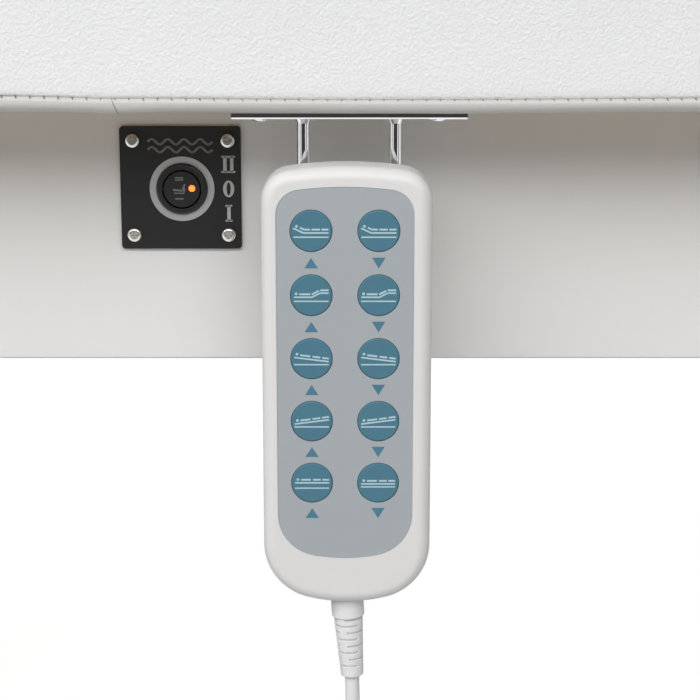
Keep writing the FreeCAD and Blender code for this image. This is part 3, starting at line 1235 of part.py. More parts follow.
def make_rocker():
    """The round rocker of the heater switch with its cross pin."""
    ball = Part.makeSphere(ROCKER_SPHERE_R, V(SWITCH_X, ROCKER_Y, SWITCH_Z))
    slab = box(SWITCH_X - 10, SWITCH_X + 10, ROCKER_Y - ROCKER_HALF_T, ROCKER_Y + ROCKER_HALF_T,
               SWITCH_Z - 10, SWITCH_Z + 10)
    pin = rod(SWITCH_X - ROCKER_PIN_HALF, ROCKER_Y, SWITCH_Z, (1, 0, 0), ROCKER_PIN_R, 2 * ROCKER_PIN_HALF)
    return join([ball.common(slab), pin])


def make_control_box():
    """The control box on the front rail, with a row of round sockets and a mains inlet."""
    case = box(BOX_X[0], BOX_X[1], -RAIL_IN_Y, -RAIL_IN_Y + BOX_DEPTH, BOX_Z[0], BOX_Z[1])
    case = case.makeFillet(4, edges_where(case, lambda p: near(p.y, -RAIL_IN_Y + BOX_DEPTH)))
    middle_y, middle_z = -RAIL_IN_Y + BOX_DEPTH / 2, (BOX_Z[0] + BOX_Z[1]) / 2
    sockets = [rod(BOX_X[1] - 5, middle_y + i * 18, middle_z, (1, 0, 0), 5, 6) for i in (-2, -1, 0, 1, 2)]
    inlet = box(BOX_X[0] - 1, BOX_X[0] + 12, middle_y - 13.5, middle_y + 13.5, middle_z - 10, middle_z + 10)
    mouth = rod(GLAND_X, GLAND_Y, BOX_Z[0] - 1, (0, 0, 1), CORD_R + 0.5, 4)
    return less(case, sockets + [inlet, mouth])


def make_cord_gland():
    """The cord gland under the control box."""
    z = BOX_Z[0]
    nut = rod(GLAND_X, GLAND_Y, z - 14, (0, 0, 1), 9, 14)
    dome = Part.makeCone(4.6, 7.6, GLAND_LENGTH - 14, V(GLAND_X, GLAND_Y, z - GLAND_LENGTH), V(0, 0, 1))
    return join([nut, dome]).cut(rod(GLAND_X, GLAND_Y, z - GLAND_LENGTH - 1, (0, 0, 1), CORD_R + FINE,
                                     GLAND_LENGTH + 2))


def make_cord():
    """The handset cord, a round cable that hangs in one free loop from the sleeve to the gland."""
    spline = Part.BSplineCurve()
    spline.buildFromPoles([V(*p) for p in CORD_POINTS], False, 2)
    print("cord length", round(spline.length(), 1))
    path = Part.Wire(spline.toShape())
    start = V(*CORD_POINTS[0])
    profile = Part.Wire(Part.makeCircle(CORD_R, start, V(*CORD_POINTS[1]) - start))
    return path.makePipeShell([profile], True, False)


def main():
    """Builds and writes every node."""
    os.makedirs("parts", exist_ok=True)
    export("base_frame", make_base_frame())
    export("base_end_caps", make_end_caps())
    export("levelling_feet", make_levelling_feet())
    export("head_column_outer", make_column_outer(-COLUMN_X))
    export("foot_column_outer", make_column_outer(COLUMN_X))
    export("column_bolts", make_column_bolts())
    export("column_drives", make_column_drives())
    export("column_collars", make_collars())
    export("head_column_middle", make_column_middle(-COLUMN_X))
    export("foot_column_middle", make_column_middle(COLUMN_X))
    export("head_column_inner", make_head_inner())
    export("foot_column_inner", make_foot_inner())
    export("head_pivot_shaft", make_pivot_shaft())

    export("top_frame", make_top_frame())
    export("front_apron",
           make_side_apron(-1,
                           [switch_hole()] + plate_screw_holes(-APRON_Y - 1, -APRON_Y + PLATE_SCREW_LENGTH)))
    export("rear_apron", make_side_apron(1, []))
    export("end_aprons", make_end_aprons())
    export("seat_board", make_board(BACK_END, SEAT_END, hanger_holes()))
    seat_mat = (BACK_END + MAT_MARGIN, SEAT_END - MAT_MARGIN)
    export("seat_cushion", make_cushion(BACK_END, SEAT_END, (BACK_END, SEAT_END), [mat(*seat_mat, FIT)]))
    export("seat_heating_mat", mat(*seat_mat))

    export("back_frame", make_back_frame())
    ledge = face_opening(-HOLE_LEDGE, UNDERSIDE_Z - 1, UNDERSIDE_Z + BOARD_T + 1)
    export("back_board", make_board(HEAD_X, BACK_END, [ledge]))
    back_mat = (HOLE_X + HOLE_LENGTH / 2 + MAT_MARGIN / 2, BACK_END - MAT_MARGIN)
    opening = face_opening(0, UNDERSIDE_Z - 1, TOP_Z + 1)
    export("back_cushion",
           round_opening(make_cushion(HEAD_X, BACK_END, (BACK_END,), [opening, mat(*back_mat, FIT)])))
    export("back_heating_mat", mat(*back_mat))
    export("face_plug", make_face_plug())

    export("thigh_frame", make_thigh_frame())
    export("thigh_board", make_board(SEAT_END, THIGH_END))
    export("thigh_cushion", make_cushion(SEAT_END, THIGH_END, (SEAT_END,)))
    export("calf_frame", make_calf_frame())
    export("calf_board", make_board(THIGH_END, FOOT_X))
    export("calf_cushion", make_cushion(THIGH_END, FOOT_X, ()))
    export("leg_link", make_leg_link())

    back = (BACK_REAR, BACK_ROD_PIN, BACK_ACTUATOR_Y, BACK_FORK_GAP)
    leg = (LEG_REAR, LEG_ROD_PIN, LEG_ACTUATOR_Y, LEG_FORK_GAP)
    export("back_actuator", make_actuator(*back, 1))
    export("back_actuator_rod", make_actuator_rod(*back))
    export("leg_actuator", make_actuator(*leg, -1))
    export("leg_actuator_rod", make_actuator_rod(*leg))

    export("hanger_bracket", make_hanger_bracket())
    export("hanger_screws", make_hanger_screws())
    export("switch_plate", make_switch_plate())
    export("switch_plate_screws", make_plate_screws())
    export("switch_housing", make_switch_housing())
    export("heater_rocker", make_rocker())
    export("control_box", make_control_box())
    export("cord_gland", make_cord_gland())
    export("handset_cord", make_cord())

    export("handset_front_shell", make_front_shell())
    export("handset_rear_shell", make_rear_shell())
    export("handset_overlay", make_overlay())
    export("handset_circuit_board", make_circuit_board())
    export("handset_strain_relief", make_strain_relief())
    for name, x, z in key_places():
        export(name, make_key(x, z))


main()
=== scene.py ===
"""Electric massage table: looks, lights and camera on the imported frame.

Lengths are in metres, and in millimetres where a comment or a name says so."""
import bpy
import bmesh
import math
import numpy as np
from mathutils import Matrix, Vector


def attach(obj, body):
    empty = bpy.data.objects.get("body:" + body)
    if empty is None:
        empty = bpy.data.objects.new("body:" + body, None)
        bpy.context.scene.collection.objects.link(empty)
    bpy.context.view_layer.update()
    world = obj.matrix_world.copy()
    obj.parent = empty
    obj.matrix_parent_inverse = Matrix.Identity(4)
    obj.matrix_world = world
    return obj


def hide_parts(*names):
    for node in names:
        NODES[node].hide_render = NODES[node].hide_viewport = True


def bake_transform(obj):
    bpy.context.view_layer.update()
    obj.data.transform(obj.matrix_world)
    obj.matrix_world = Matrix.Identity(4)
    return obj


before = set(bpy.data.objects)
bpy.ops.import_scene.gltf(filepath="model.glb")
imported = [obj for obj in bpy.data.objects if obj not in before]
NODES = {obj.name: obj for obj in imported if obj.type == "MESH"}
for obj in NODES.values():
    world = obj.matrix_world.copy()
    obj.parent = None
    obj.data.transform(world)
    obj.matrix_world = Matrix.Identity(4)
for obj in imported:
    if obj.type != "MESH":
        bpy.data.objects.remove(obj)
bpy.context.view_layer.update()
MM = 0.001

# Sizes that the part's source has too, in millimetres
HEAD_X, BACK_END, SEAT_END, THIGH_END, FOOT_X = -950.0, -310.0, 110.0, 470.0, 950.0
HALF_WIDTH, UNDER_Z, TOP_Z = 350.0, 520.0, 620.0
HALF_GAP = 4.0
BOARD_INSET, BOARD_TOP = 7.0, 535.0
HOLE_X, HOLE_HALF_X, HOLE_HALF_Y = -750.0, 105.0, 65.0
HINGE_Y = 214.0
KEY_FACE_Y, LABEL_Y = -348.95, -348.8
PLATE_X, PLATE_Z, PLATE_Y = -169.7, 482.6, -291.6
SWITCH_X, SWITCH_Z, ROCKER_FACE_Y = -169.2, 482.2, -293.2


# Objects and meshes

def add_object(name, data):
    """A new object with that data, in the scene."""
    obj = bpy.data.objects.new(name, data)
    bpy.context.collection.objects.link(obj)
    return obj


def outward_mesh(name, points_mm, faces):
    """A mesh from points in millimetres, its faces turned outwards."""
    mesh = bpy.data.meshes.new(name)
    mesh.from_pydata([tuple(c * MM for c in point) for point in points_mm], [], faces)
    mesh.validate()
    bm = bmesh.new()
    bm.from_mesh(mesh)
    bmesh.ops.recalc_face_normals(bm, faces=bm.faces)
    bm.to_mesh(mesh)
    bm.free()
    return mesh


def final_mesh(obj):
    """The mesh that a curve makes, or that an object has after its modifiers."""
    bpy.context.view_layer.update()
    return bpy.data.meshes.new_from_object(obj.evaluated_get(bpy.context.evaluated_depsgraph_get()))


def smooth(obj):
    for face in obj.data.polygons:
        face.use_smooth = True


def paint(obj, mat):
    """Gives an object one material in every slot."""
    if not obj.data.materials:
        obj.data.materials.append(mat)
    for slot in obj.material_slots:
        slot.link = "OBJECT"
        slot.material = mat


def mesh_object(name, points_mm, faces, mat, body, shaded_smooth=False):
    """A mesh piece from points in millimetres, with its material, body and slot."""
    obj = add_object(name, outward_mesh(name, points_mm, faces))
    if shaded_smooth:
        smooth(obj)
    paint(obj, mat)
    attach(obj, body)
    return obj


# Camera

CAMERA_PLACE = (-0.0982, -1.0895, 0.5965)
CAMERA_PITCH = 77.0
SENSOR_WIDTH_MM, FOCAL_LENGTH_MM = 36.0, 97.71
CLIP_NEAR, CLIP_FAR = 0.02, 30.0


def make_camera():
    data = bpy.data.cameras.new("camera")
    data.sensor_width = SENSOR_WIDTH_MM
    data.lens = FOCAL_LENGTH_MM
    data.clip_start = CLIP_NEAR
    data.clip_end = CLIP_FAR
    camera = add_object("camera", data)
    camera.location = CAMERA_PLACE
    camera.rotation_euler = (math.radians(CAMERA_PITCH), 0, 0)
    bpy.context.scene.camera = camera


# Handset cord

CORD_DIAMETER = 0.0062
CORD_ROUTE = [
    (-0.09745, -0.337, 0.2851), (-0.0968, -0.337, 0.262), (-0.096, -0.335, 0.214), (-0.097, -0.331, 0.168),
    (-0.106, -0.324, 0.122), (-0.131, -0.311, 0.082), (-0.172, -0.293, 0.058), (-0.220, -0.272, 0.052),
    (-0.266, -0.251, 0.070), (-0.303, -0.232, 0.108), (-0.328, -0.217, 0.156), (-0.344, -0.206, 0.208),
    (-0.354, -0.198, 0.262), (-0.359, -0.192, 0.318), (-0.360, -0.190, 0.366), (-0.360, -0.190, 0.425),
]


def cord_mesh(radius):
    """The cord as a mesh of that radius, or as its centreline where the radius is 0."""
    data = bpy.data.curves.new("cord_route", "CURVE")
    data.dimensions = "3D"
    spline = data.splines.new("NURBS")
    spline.points.add(len(CORD_ROUTE) - 1)
    for point, place in zip(spline.points, CORD_ROUTE):
        point.co = (*place, 1.0)
    spline.order_u = 3
    spline.use_endpoint_u = True
    spline.resolution_u = 12
    data.bevel_depth = radius
    data.bevel_resolution = 5
    data.use_fill_caps = radius > 0
    curve = add_object("cord_route", data)
    mesh = final_mesh(curve)
    bpy.data.objects.remove(curve)
    return mesh


def make_cord():
    path = [tuple(v.co) for v in cord_mesh(0.0).vertices]
    cord = add_object("handset_cable", cord_mesh(CORD_DIAMETER / 2))
    smooth(cord)
    paint(cord, MATERIALS["cord"])
    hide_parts("handset_cord")
    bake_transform(cord)


# Materials

# How much a colour's noise moves roughness, and where the two tones of a colour lie on that noise
ROUGH_SPREAD = 0.12
TONE_PLACES = (0.3, 0.7)
# The warp that makes a pebble's cells uneven, as shares of the cell's own scale
WARP_SCALE, WARP_REACH = 0.3, 2.2


def rgb(*values):
    """An 8-bit picture colour as linear values with alpha."""
    return tuple(((v / 255 + 0.055) / 1.055) ** 2.4 if v > 10 else v / 255 / 12.92 for v in values) + (1.0,)


def new_node(tree, kind, **inputs):
    """A shader node of that kind, with its named inputs set."""
    node = tree.nodes.new("ShaderNode" + kind)
    for name, value in inputs.items():
        node.inputs[name.replace("_", " ")].default_value = value
    return node


def node_material(name):
    """A new material with its node tree and its shader."""
    mat = bpy.data.materials.new(name)
    mat.use_nodes = True
    return mat, mat.node_tree, mat.node_tree.nodes["Principled BSDF"]


def tone_ramp(tree, dark, light):
    """A ramp from a dark tone to a light one."""
    ramp = new_node(tree, "ValToRGB")
    ramp.color_ramp.elements[0].color = dark
    ramp.color_ramp.elements[1].color = light
    return ramp


def bump_height(tree, place, kind, scale):
    """The height of a bump's texture, where kind is "pebble", "lines" or "noise"."""
    if kind == "lines":
        texture = new_node(tree, "TexWave", Scale=scale, Distortion=1.5, Detail=2.0)
    elif kind == "noise":
        texture = new_node(tree, "TexNoise", Scale=scale, Detail=5.0)
    else:
        texture = new_node(tree, "TexVoronoi", Scale=scale)
        texture.feature = "SMOOTH_F1"
        texture.inputs["Smoothness"].default_value = 0.6
        warp = new_node(tree, "TexNoise", Scale=scale * WARP_SCALE, Detail=3.0)
        tree.links.new(place, warp.inputs["Vector"])
        shift = new_node(tree, "VectorMath")
        shift.operation = "MULTIPLY_ADD"
        shift.inputs[1].default_value = (WARP_REACH / scale,) * 3
        tree.links.new(warp.outputs["Color"], shift.inputs[0])
        tree.links.new(place, shift.inputs[2])
        place = shift.outputs["Vector"]
    tree.links.new(place, texture.inputs["Vector"])
    return texture.outputs["Distance" if kind == "pebble" else "Fac"]


def material(name, colour, rough, spread, colour_scale, bumps, metallic=0.0, **inputs):
    """A procedural material: colour and roughness vary with a soft noise, and each bump adds fine relief.

    A bump is (kind, scale, strength, depth in metres). The other inputs are the shader's own."""
    mat, tree, shader = node_material(name)
    place = new_node(tree, "TexCoord").outputs["Object"]
    cloud = new_node(tree, "TexNoise", Scale=colour_scale, Detail=4.0)
    tree.links.new(place, cloud.inputs["Vector"])
    ramp = tone_ramp(tree, tuple(c * (1 - spread) for c in colour[:3]) + (1.0,),
                     tuple(min(1.0, c * (1 + spread)) for c in colour[:3]) + (1.0,))
    for element, position in zip(ramp.color_ramp.elements, TONE_PLACES):
        element.position = position
    tree.links.new(cloud.outputs["Fac"], ramp.inputs["Fac"])
    tree.links.new(ramp.outputs["Color"], shader.inputs["Base Color"])
    roughness = new_node(tree, "MapRange", To_Min=rough * (1 - ROUGH_SPREAD),
                         To_Max=min(1.0, rough * (1 + ROUGH_SPREAD)))
    tree.links.new(cloud.outputs["Fac"], roughness.inputs["Value"])
    tree.links.new(roughness.outputs["Result"], shader.inputs["Roughness"])
    shader.inputs["Metallic"].default_value = metallic
    for socket, value in inputs.items():
        shader.inputs[socket.replace("_", " ")].default_value = value
    surface = shader
    for kind, scale, strength, depth in reversed(bumps):
        bump = new_node(tree, "Bump", Strength=strength, Distance=depth)
        tree.links.new(bump_height(tree, place, kind, scale), bump.inputs["Height"])
        tree.links.new(bump.outputs["Normal"], surface.inputs["Normal"])
        surface = bump
    return mat


# For each material: name, colour, roughness, spread of the colour, scale of that spread, bumps
MATERIALS = {
    "leather": material("white_leather", rgb(240, 241, 240), 0.46, 0.012, 5.0, [
        ("noise", 14.0, 0.25, 0.003), ("noise", 520.0, 0.25, 0.0005), ("pebble", 860.0, 0.6, 0.0004),
        ("noise", 1500.0, 0.35, 0.0001)], Specular_IOR_Level=0.42),
    # The band is the cushion's own leather, made darker as painted shade for the rolled band under the seam
    "band": material("band_leather_painted_shade", rgb(208, 206, 202), 0.40, 0.015, 20.0, [
        ("noise", 60.0, 0.3, 0.0008), ("pebble", 900.0, 0.25, 0.0002)], Specular_IOR_Level=0.45),
    "stitch": material("stitch_thread", rgb(120, 118, 114), 0.7, 0.15, 400.0, [
        ("lines", 900.0, 0.4, 0.0001)]),
    "apron": material("white_laminate", rgb(238, 237, 235), 0.34, 0.012, 3.0, [
        ("noise", 300.0, 0.06, 0.0001)], Specular_IOR_Level=0.5),
    "plywood": material("birch_plywood", rgb(205, 176, 132), 0.62, 0.12, 30.0, [
        ("lines", 60.0, 0.15, 0.0003)]),
    "white_paint": material("white_powder_coat", rgb(226, 226, 224), 0.42, 0.015, 6.0, [
        ("noise", 900.0, 0.25, 0.00012)], Specular_IOR_Level=0.5),
    "grey_paint": material("grey_powder_coat", rgb(176, 178, 180), 0.45, 0.03, 6.0, [
        ("noise", 900.0, 0.3, 0.00015)]),
    "steel": material("turned_steel", rgb(198, 199, 202), 0.26, 0.05, 40.0, [
        ("lines", 700.0, 0.12, 0.00005)], metallic=1.0),
    "chrome": material("polished_chrome", rgb(222, 223, 225), 0.07, 0.02, 60.0, [
        ("noise", 200.0, 0.03, 0.0001)], metallic=1.0),
    "black": material("black_plastic", rgb(38, 38, 40), 0.48, 0.10, 30.0, [
        ("noise", 1400.0, 0.4, 0.0001)]),
    "drive": material("drive_plastic", rgb(52, 54, 57), 0.42, 0.08, 20.0, [
        ("noise", 1100.0, 0.3, 0.0001)]),
    "rubber": material("foot_rubber", rgb(34, 34, 35), 0.75, 0.12, 40.0, [
        ("noise", 600.0, 0.4, 0.0002)]),
    "switch": material("switch_plate_black", rgb(20, 19, 20), 0.55, 0.10, 60.0, [
        ("noise", 1800.0, 0.5, 0.00008)], Specular_IOR_Level=0.35),
    "screw": material("screw_steel", rgb(206, 203, 197), 0.22, 0.04, 90.0, [
        ("noise", 500.0, 0.1, 0.00005)], metallic=1.0),
    "bezel": material("bezel_black", rgb(22, 22, 23), 0.30, 0.10, 80.0, [
        ("noise", 900.0, 0.1, 0.00005)]),
    "handset": material("handset_plastic", rgb(231, 230, 229), 0.42, 0.008, 12.0, [
        ("noise", 1600.0, 0.25, 0.00006)], Specular_IOR_Level=0.4),
    "label": material("label_film", rgb(171, 177, 181), 0.50, 0.012, 20.0, [
        ("noise", 2200.0, 0.35, 0.00004)], Specular_IOR_Level=0.4),
    "key": material("key_teal", rgb(73, 122, 141), 0.46, 0.02, 60.0, [
        ("noise", 2200.0, 0.3, 0.00004)], Specular_IOR_Level=0.4),
    "print_pale": material("pale_print", rgb(183, 211, 220), 0.55, 0.03, 200.0, [
        ("noise", 2000.0, 0.2, 0.00003)]),
    "print_teal": material("teal_print", rgb(72, 122, 145), 0.52, 0.03, 200.0, [
        ("noise", 2000.0, 0.2, 0.00003)]),
    "print_silver": material("silver_print", rgb(178, 178, 178), 0.42, 0.05, 200.0, [
        ("noise", 1500.0, 0.2, 0.00003)], metallic=0.35),
    "print_grey": material("grey_print", rgb(120, 112, 104), 0.55, 0.04, 200.0, [
        ("noise", 1500.0, 0.2, 0.00003)]),
    "print_rocker": material("rocker_print", rgb(120, 119, 124), 0.5, 0.03, 200.0, [
        ("noise", 1500.0, 0.2, 0.00003)]),
    "circuit": material("circuit_green", rgb(38, 92, 62), 0.4, 0.08, 150.0, [
        ("noise", 700.0, 0.2, 0.0001)]),
    "relief": material("relief_rubber", rgb(240, 240, 240), 0.5, 0.02, 50.0, [
        ("noise", 1200.0, 0.3, 0.00008)]),
    "cord": material("cord_sheath", rgb(238, 238, 239), 0.44, 0.015, 40.0, [
        ("noise", 900.0, 0.25, 0.00008)]),
    "cloth": material("heating_cloth", rgb(70, 70, 76), 0.9, 0.1, 60.0, [
        ("lines", 400.0, 0.5, 0.0004)], Sheen_Weight=0.3),
    "card": material("dark_card", rgb(78, 74, 70), 0.9, 0.05, 3.0, [
        ("noise", 20.0, 0.1, 0.001)]),
    "lamp": material("orange_lamp", rgb(255, 120, 40), 0.25, 0.05, 300.0, [],
                     Emission_Color=rgb(255, 110, 40), Emission_Strength=2.2),
}

NODE_MATERIALS = {
    "leather": "back_cushion seat_cushion thigh_cushion calf_cushion face_plug",
    "apron": "front_apron rear_apron end_aprons",
    "plywood": "back_board seat_board thigh_board calf_board",
    "white_paint": "base_frame head_column_outer foot_column_outer head_column_middle foot_column_middle",
    "grey_paint": "top_frame back_frame thigh_frame calf_frame leg_link head_column_inner foot_column_inner",
    "steel": "head_pivot_shaft column_drives column_bolts back_actuator_rod leg_actuator_rod",
    "chrome": "hanger_bracket hanger_screws",
    "screw": "switch_plate_screws",
    "black": "base_end_caps column_collars cord_gland control_box",
    "drive": "back_actuator leg_actuator",
    "rubber": "levelling_feet",
    "switch": "switch_plate",
    "bezel": "switch_housing heater_rocker",
    "handset": "handset_front_shell handset_rear_shell",
    "label": "handset_overlay",
    "circuit": "handset_circuit_board",
    "relief": "handset_strain_relief",
    "cord": "handset_cord",
    "cloth": "seat_heating_mat back_heating_mat",
}


def paint_nodes():
    for kind, names in NODE_MATERIALS.items():
        for name in names.split():
            paint(NODES[name], MATERIALS[kind])
    for name in NODES:
        if name.startswith("key_"):
            paint(NODES[name], MATERIALS["key"])


# Cushions, in millimetres

# A cushion's outline: its plan corners, the spacing of its points, and the radii of its upper edges
PLAN_CORNER, CORNER_STEPS = 6.0, 8
SIDE_STEP, RISE_STEP, TOP_STEP = 8.0, 6.0, 9.0
SIDE_EDGE_R, HINGE_EDGE_R, END_EDGE_R = 14.0, 23.0, 17.0
# What the innermost ring on top leaves open at least
TOP_MIDDLE = 4.0
EDGE_ANGLES = (4, 16, 29, 42, 55, 68, 80, 90)

# The leather's way out of the board pocket, round the rolled lower band and over the seam's crease, as
# (inset from the outline, height). SIDE_INSET is that of the side above.
SEAM_Z = 525.6
POCKET = ((BOARD_INSET, BOARD_TOP), (BOARD_INSET, 528.0), (BOARD_INSET, 521.0), (6.4, 520.1), (4.2, UNDER_Z))
BAND = ((2.6, 520.3), (1.3, 521.1), (0.45, 522.1), (0.05, 523.1), (0.0, 523.8), (0.12, 524.5), (0.5, 525.1),
        (1.2, 525.4))
CREASE = ((1.7, SEAM_Z), (1.15, 525.9), (0.75, 526.3), (0.5, 527.2), (0.42, 529.0))
SIDE_INSET, SIDE_LOW_Z = 0.4, 532.0

# Where the leather leaves that form: how far, and over what distance that fades
EDGE_TOP_Z = TOP_Z - 1.5
CROWN, CROWN_START, CROWN_FADE = 3.2, 8.0, 45.0
CORNER_DROP, CORNER_FADE = 1.6, 40.0
END_PULL, SIDE_PULL, PULL_FADE = 1.3, 0.8, 30.0
# Two ripples, each as (height, waves per mm), and their share on the top and on the sides
RIPPLES = ((0.55, 0.055), (0.25, 0.16))
TOP_RIPPLE, SIDE_RIPPLE, SIDE_RIPPLE_FADE = 1.6, 0.5, 20.0
WAVES, WAVE_TURN = 6, 6.28

# How high the front's seam and lower edge run against their mean, as (x, height). The band sags at its join.
SEAM_RUN = ((-238.0, 1.4), (-214.0, 0.8), (-193.0, 0.0), (-178.0, 0.2), (-138.0, -0.2), (-98.0, -0.5),
            (-58.0, -0.5), (-22.0, -0.3), (42.0, 0.3))
EDGE_RUN = ((-238.0, 0.5), (-214.0, 0.3), (-198.0, -0.3), (-189.0, -0.8), (-180.0, -0.4), (-170.0, 0.1),
            (-138.0, -0.1), (-98.0, -0.4), (-58.0, -0.8), (-22.0, -0.3), (6.0, 0.3), (42.0, 0.5))
SEAM_REACH, FRONT_FADE = 1.6, 12.0

# From where to where each of these moves sets in, as heights or as depths from the side
ON_TOP, OVER_BAND, UNDER_TOP = (590.0, 615.0), (527.0, 547.0), (TOP_Z, TOP_Z - 30.0)
LOW_EDGE, LOW_EDGE_DEPTH = (524.5, 521.0), (7.0, 4.5)


def rounded_ring(x0, x1, half_y, radius, counts):
    """Points round a rectangle with round corners: (x, y, weight of the low-x end, weight of the high-x end).

    counts has the number of points along each of its four straight sides."""
    cx0, cx1, cy = x0 + radius, x1 - radius, half_y - radius
    side, low, high = (0.0, 0.0), (1.0, 0.0), (0.0, 1.0)
    straights = (((cx0, -half_y), (cx1, -half_y), side), ((x1, -cy), (x1, cy), high),
                 ((cx1, half_y), (cx0, half_y), side), ((x0, cy), (x0, -cy), low))
    corners = ((cx1, -cy, -90, side, high), (cx1, cy, 0, high, side),
               (cx0, cy, 90, side, low), (cx0, -cy, 180, low, side))
    ring = []
    for count, straight, corner in zip(counts, straights, corners):
        a, b, ends = straight
        for i in range(count):
            t = i / count
            ring.append((a[0] + (b[0] - a[0]) * t, a[1] + (b[1] - a[1]) * t, *ends))
        cx, middle_y, first_angle, from_ends, to_ends = corner
        for i in range(CORNER_STEPS):
            t = i / CORNER_STEPS
            angle = math.radians(first_angle + 90 * t)
            weights = tuple(p + (q - p) * t for p, q in zip(from_ends, to_ends))
            ring.append((cx + radius * math.cos(angle), middle_y + radius * math.sin(angle), *weights))
    return ring


def loft(rings):
    """Points and faces through rings of equal length, closed at both ends. A ring is a list of (x, y, z)."""
    n = len(rings[0])
    points = [point for ring in rings for point in ring]
    faces = [[k * n + i, k * n + (i + 1) % n, (k + 1) * n + (i + 1) % n, (k + 1) * n + i]
             for k in range(len(rings) - 1) for i in range(n)]
    return points, faces + [list(range(n)), [(len(rings) - 1) * n + i for i in range(n)]]


def side_profile(radii, far):
    """A cushion's rings: (inset, height, None) up the side, then (inset, 0, angle) over the edge and on top.

    radii are those of the upper edges, and far is how far the rings on top reach inwards."""
    rings = [(inset, z, None) for inset, z in POCKET + BAND + CREASE]
    rise = EDGE_TOP_Z - max(radii) - SIDE_LOW_Z
    count = int(rise / RISE_STEP)
    rings += [(SIDE_INSET, SIDE_LOW_Z + rise * i / count, None) for i in range(count + 1)]
    rings += [(SIDE_INSET, 0.0, math.radians(angle)) for angle in EDGE_ANGLES]
    count = int(far / TOP_STEP)
    return rings + [(SIDE_INSET + far * (i + 1) / count, 0.0, math.radians(90)) for i in range(count)]


def cushion_rings(x0, x1, radii):
    """The rings of a cushion before it is crowned and pulled.

    radii are those of its upper edges: at the sides, at the low-x end and at the high-x end."""
    middle, half_x = (x0 + x1) / 2, (x1 - x0) / 2
    counts = [max(4, int((x1 - x0) / SIDE_STEP)), max(4, int(2 * HALF_WIDTH / SIDE_STEP))] * 2
    outline = rounded_ring(x0, x1, HALF_WIDTH, PLAN_CORNER, counts)
    far = min(HALF_WIDTH, half_x) - max(radii) - TOP_MIDDLE
    rings = []
    for inset, z, angle in side_profile(radii, far):
        ring = []
        for x, y, low, high in outline:
            radius = radii[0] * (1 - low - high) + radii[1] * low + radii[2] * high
            move, height = inset, z
            if angle is not None:
                move = radius * (1 - math.cos(angle)) + inset
                height = EDGE_TOP_Z - radius * (1 - math.sin(angle)) + z
            ring.append((middle + (x - middle) * (half_x - move) / half_x,
                         y * (HALF_WIDTH - move) / HALF_WIDTH, height))
        rings.append(ring)
    return rings


def soft_noise(points, scale, seed):
    """Smooth noise between -1 and 1 for each point, from a few sine waves."""
    rng = np.random.default_rng(seed)
    total = np.zeros(len(points))
    for _ in range(WAVES):
        wave = rng.normal(size=3) * scale
        total += np.sin(points @ wave + rng.uniform(0, WAVE_TURN))
    return total / WAVES


def lift_from(run, x_mm):
    """The height that a run has at a place along the table."""
    xs, heights = zip(*run)
    return np.interp(x_mm, xs, heights)


def part_way(value, start, end):
    """0 up to start, 1 from end on, and even between. end may lie below start."""
    return np.clip((value - start) / (end - start), 0, 1)


def fade(distance, width):
    """1 at no distance, and 0 from that width on."""
    return np.clip(1 - distance / width, 0, 1)


def cushion_form(x0, x1, radii, seed):
    """A section's cushion, as points and faces: crowned, and its sides pulled in between the corners."""
    points, faces = loft(cushion_rings(x0, x1, radii))
    points = np.array(points)
    x, y, z = points.T
    middle, half_x = (x0 + x1) / 2, (x1 - x0) / 2
    to_side, to_end = HALF_WIDTH - np.abs(y), half_x - np.abs(x - middle)
    edge = np.minimum(to_side, to_end)
    on_top = part_way(z, *ON_TOP)
    upper = part_way(z, *OVER_BAND) * part_way(z, *UNDER_TOP)
    crown = CROWN * (1 - np.exp(-np.clip(edge - CROWN_START, 0, None) / CROWN_FADE))
    corner_drop = CORNER_DROP * np.exp(-(to_side + to_end) / CORNER_FADE)
    z += on_top * (crown - corner_drop)
    pull = END_PULL * np.sin(part_way(y, -HALF_WIDTH, HALF_WIDTH) * math.pi)
    x += upper * pull * fade(to_end, PULL_FADE) * np.sign(middle - x)
    pull = SIDE_PULL * np.sin(part_way(x, x0, x1) * math.pi)
    y += upper * pull * fade(to_side, PULL_FADE) * -np.sign(y)
    ripple = sum(height * soft_noise(points, scale, seed + i) for i, (height, scale) in enumerate(RIPPLES))
    z += on_top * ripple * TOP_RIPPLE
    y += upper * ripple * SIDE_RIPPLE * fade(to_side, SIDE_RIPPLE_FADE) * np.sign(y)
    seam_lift, edge_lift = lift_from(SEAM_RUN, x), lift_from(EDGE_RUN, x)
    on_seam = np.exp(-((z - SEAM_Z) / SEAM_REACH) ** 2)
    on_edge = part_way(z, *LOW_EDGE) * part_way(to_side, *LOW_EDGE_DEPTH)
    front = fade(to_side, FRONT_FADE) * (y < 0)
    z += front * (on_seam * seam_lift + on_edge * edge_lift)
    return points, faces


# What is cut out of the cushions: room for the hinges, and the breathing hole with its rolled edge
HINGE_CUT_HALF_X, HINGE_CUT_HALF_Y, HINGE_CUT_Z = 7.6, 11.4, (515.0, 611.5)
HOLE_ROUND, HOLE_ROUND_Z = 8.0, 612.0
HOLE_BELOW = ((0.0, 500.0), (0.0, HOLE_ROUND_Z))
HOLE_ABOVE = ((14.0, 628.0), (16.0, 640.0))
HOLE_ANGLES, HOLE_COUNT = (20, 40, 58, 72), 24

# The face plug, smaller than the hole by its gap
PLUG_GAP, PLUG_ROUND_Z = 0.9, 611.0
PLUG_FOOT, PLUG_HEIGHTS = (-1.2, 535.2), (537.5, 560.0, 590.0, PLUG_ROUND_Z)
PLUG_TOP_INSET, PLUG_TOP_STEPS = 9.0, (7, 14, 22, 30, 38, 46, 54)
PLUG_CROWN, PLUG_CROWN_REACH = 2.4, 56.0
PLUG_ANGLES, PLUG_COUNT = (15, 32, 50, 68, 90), 40


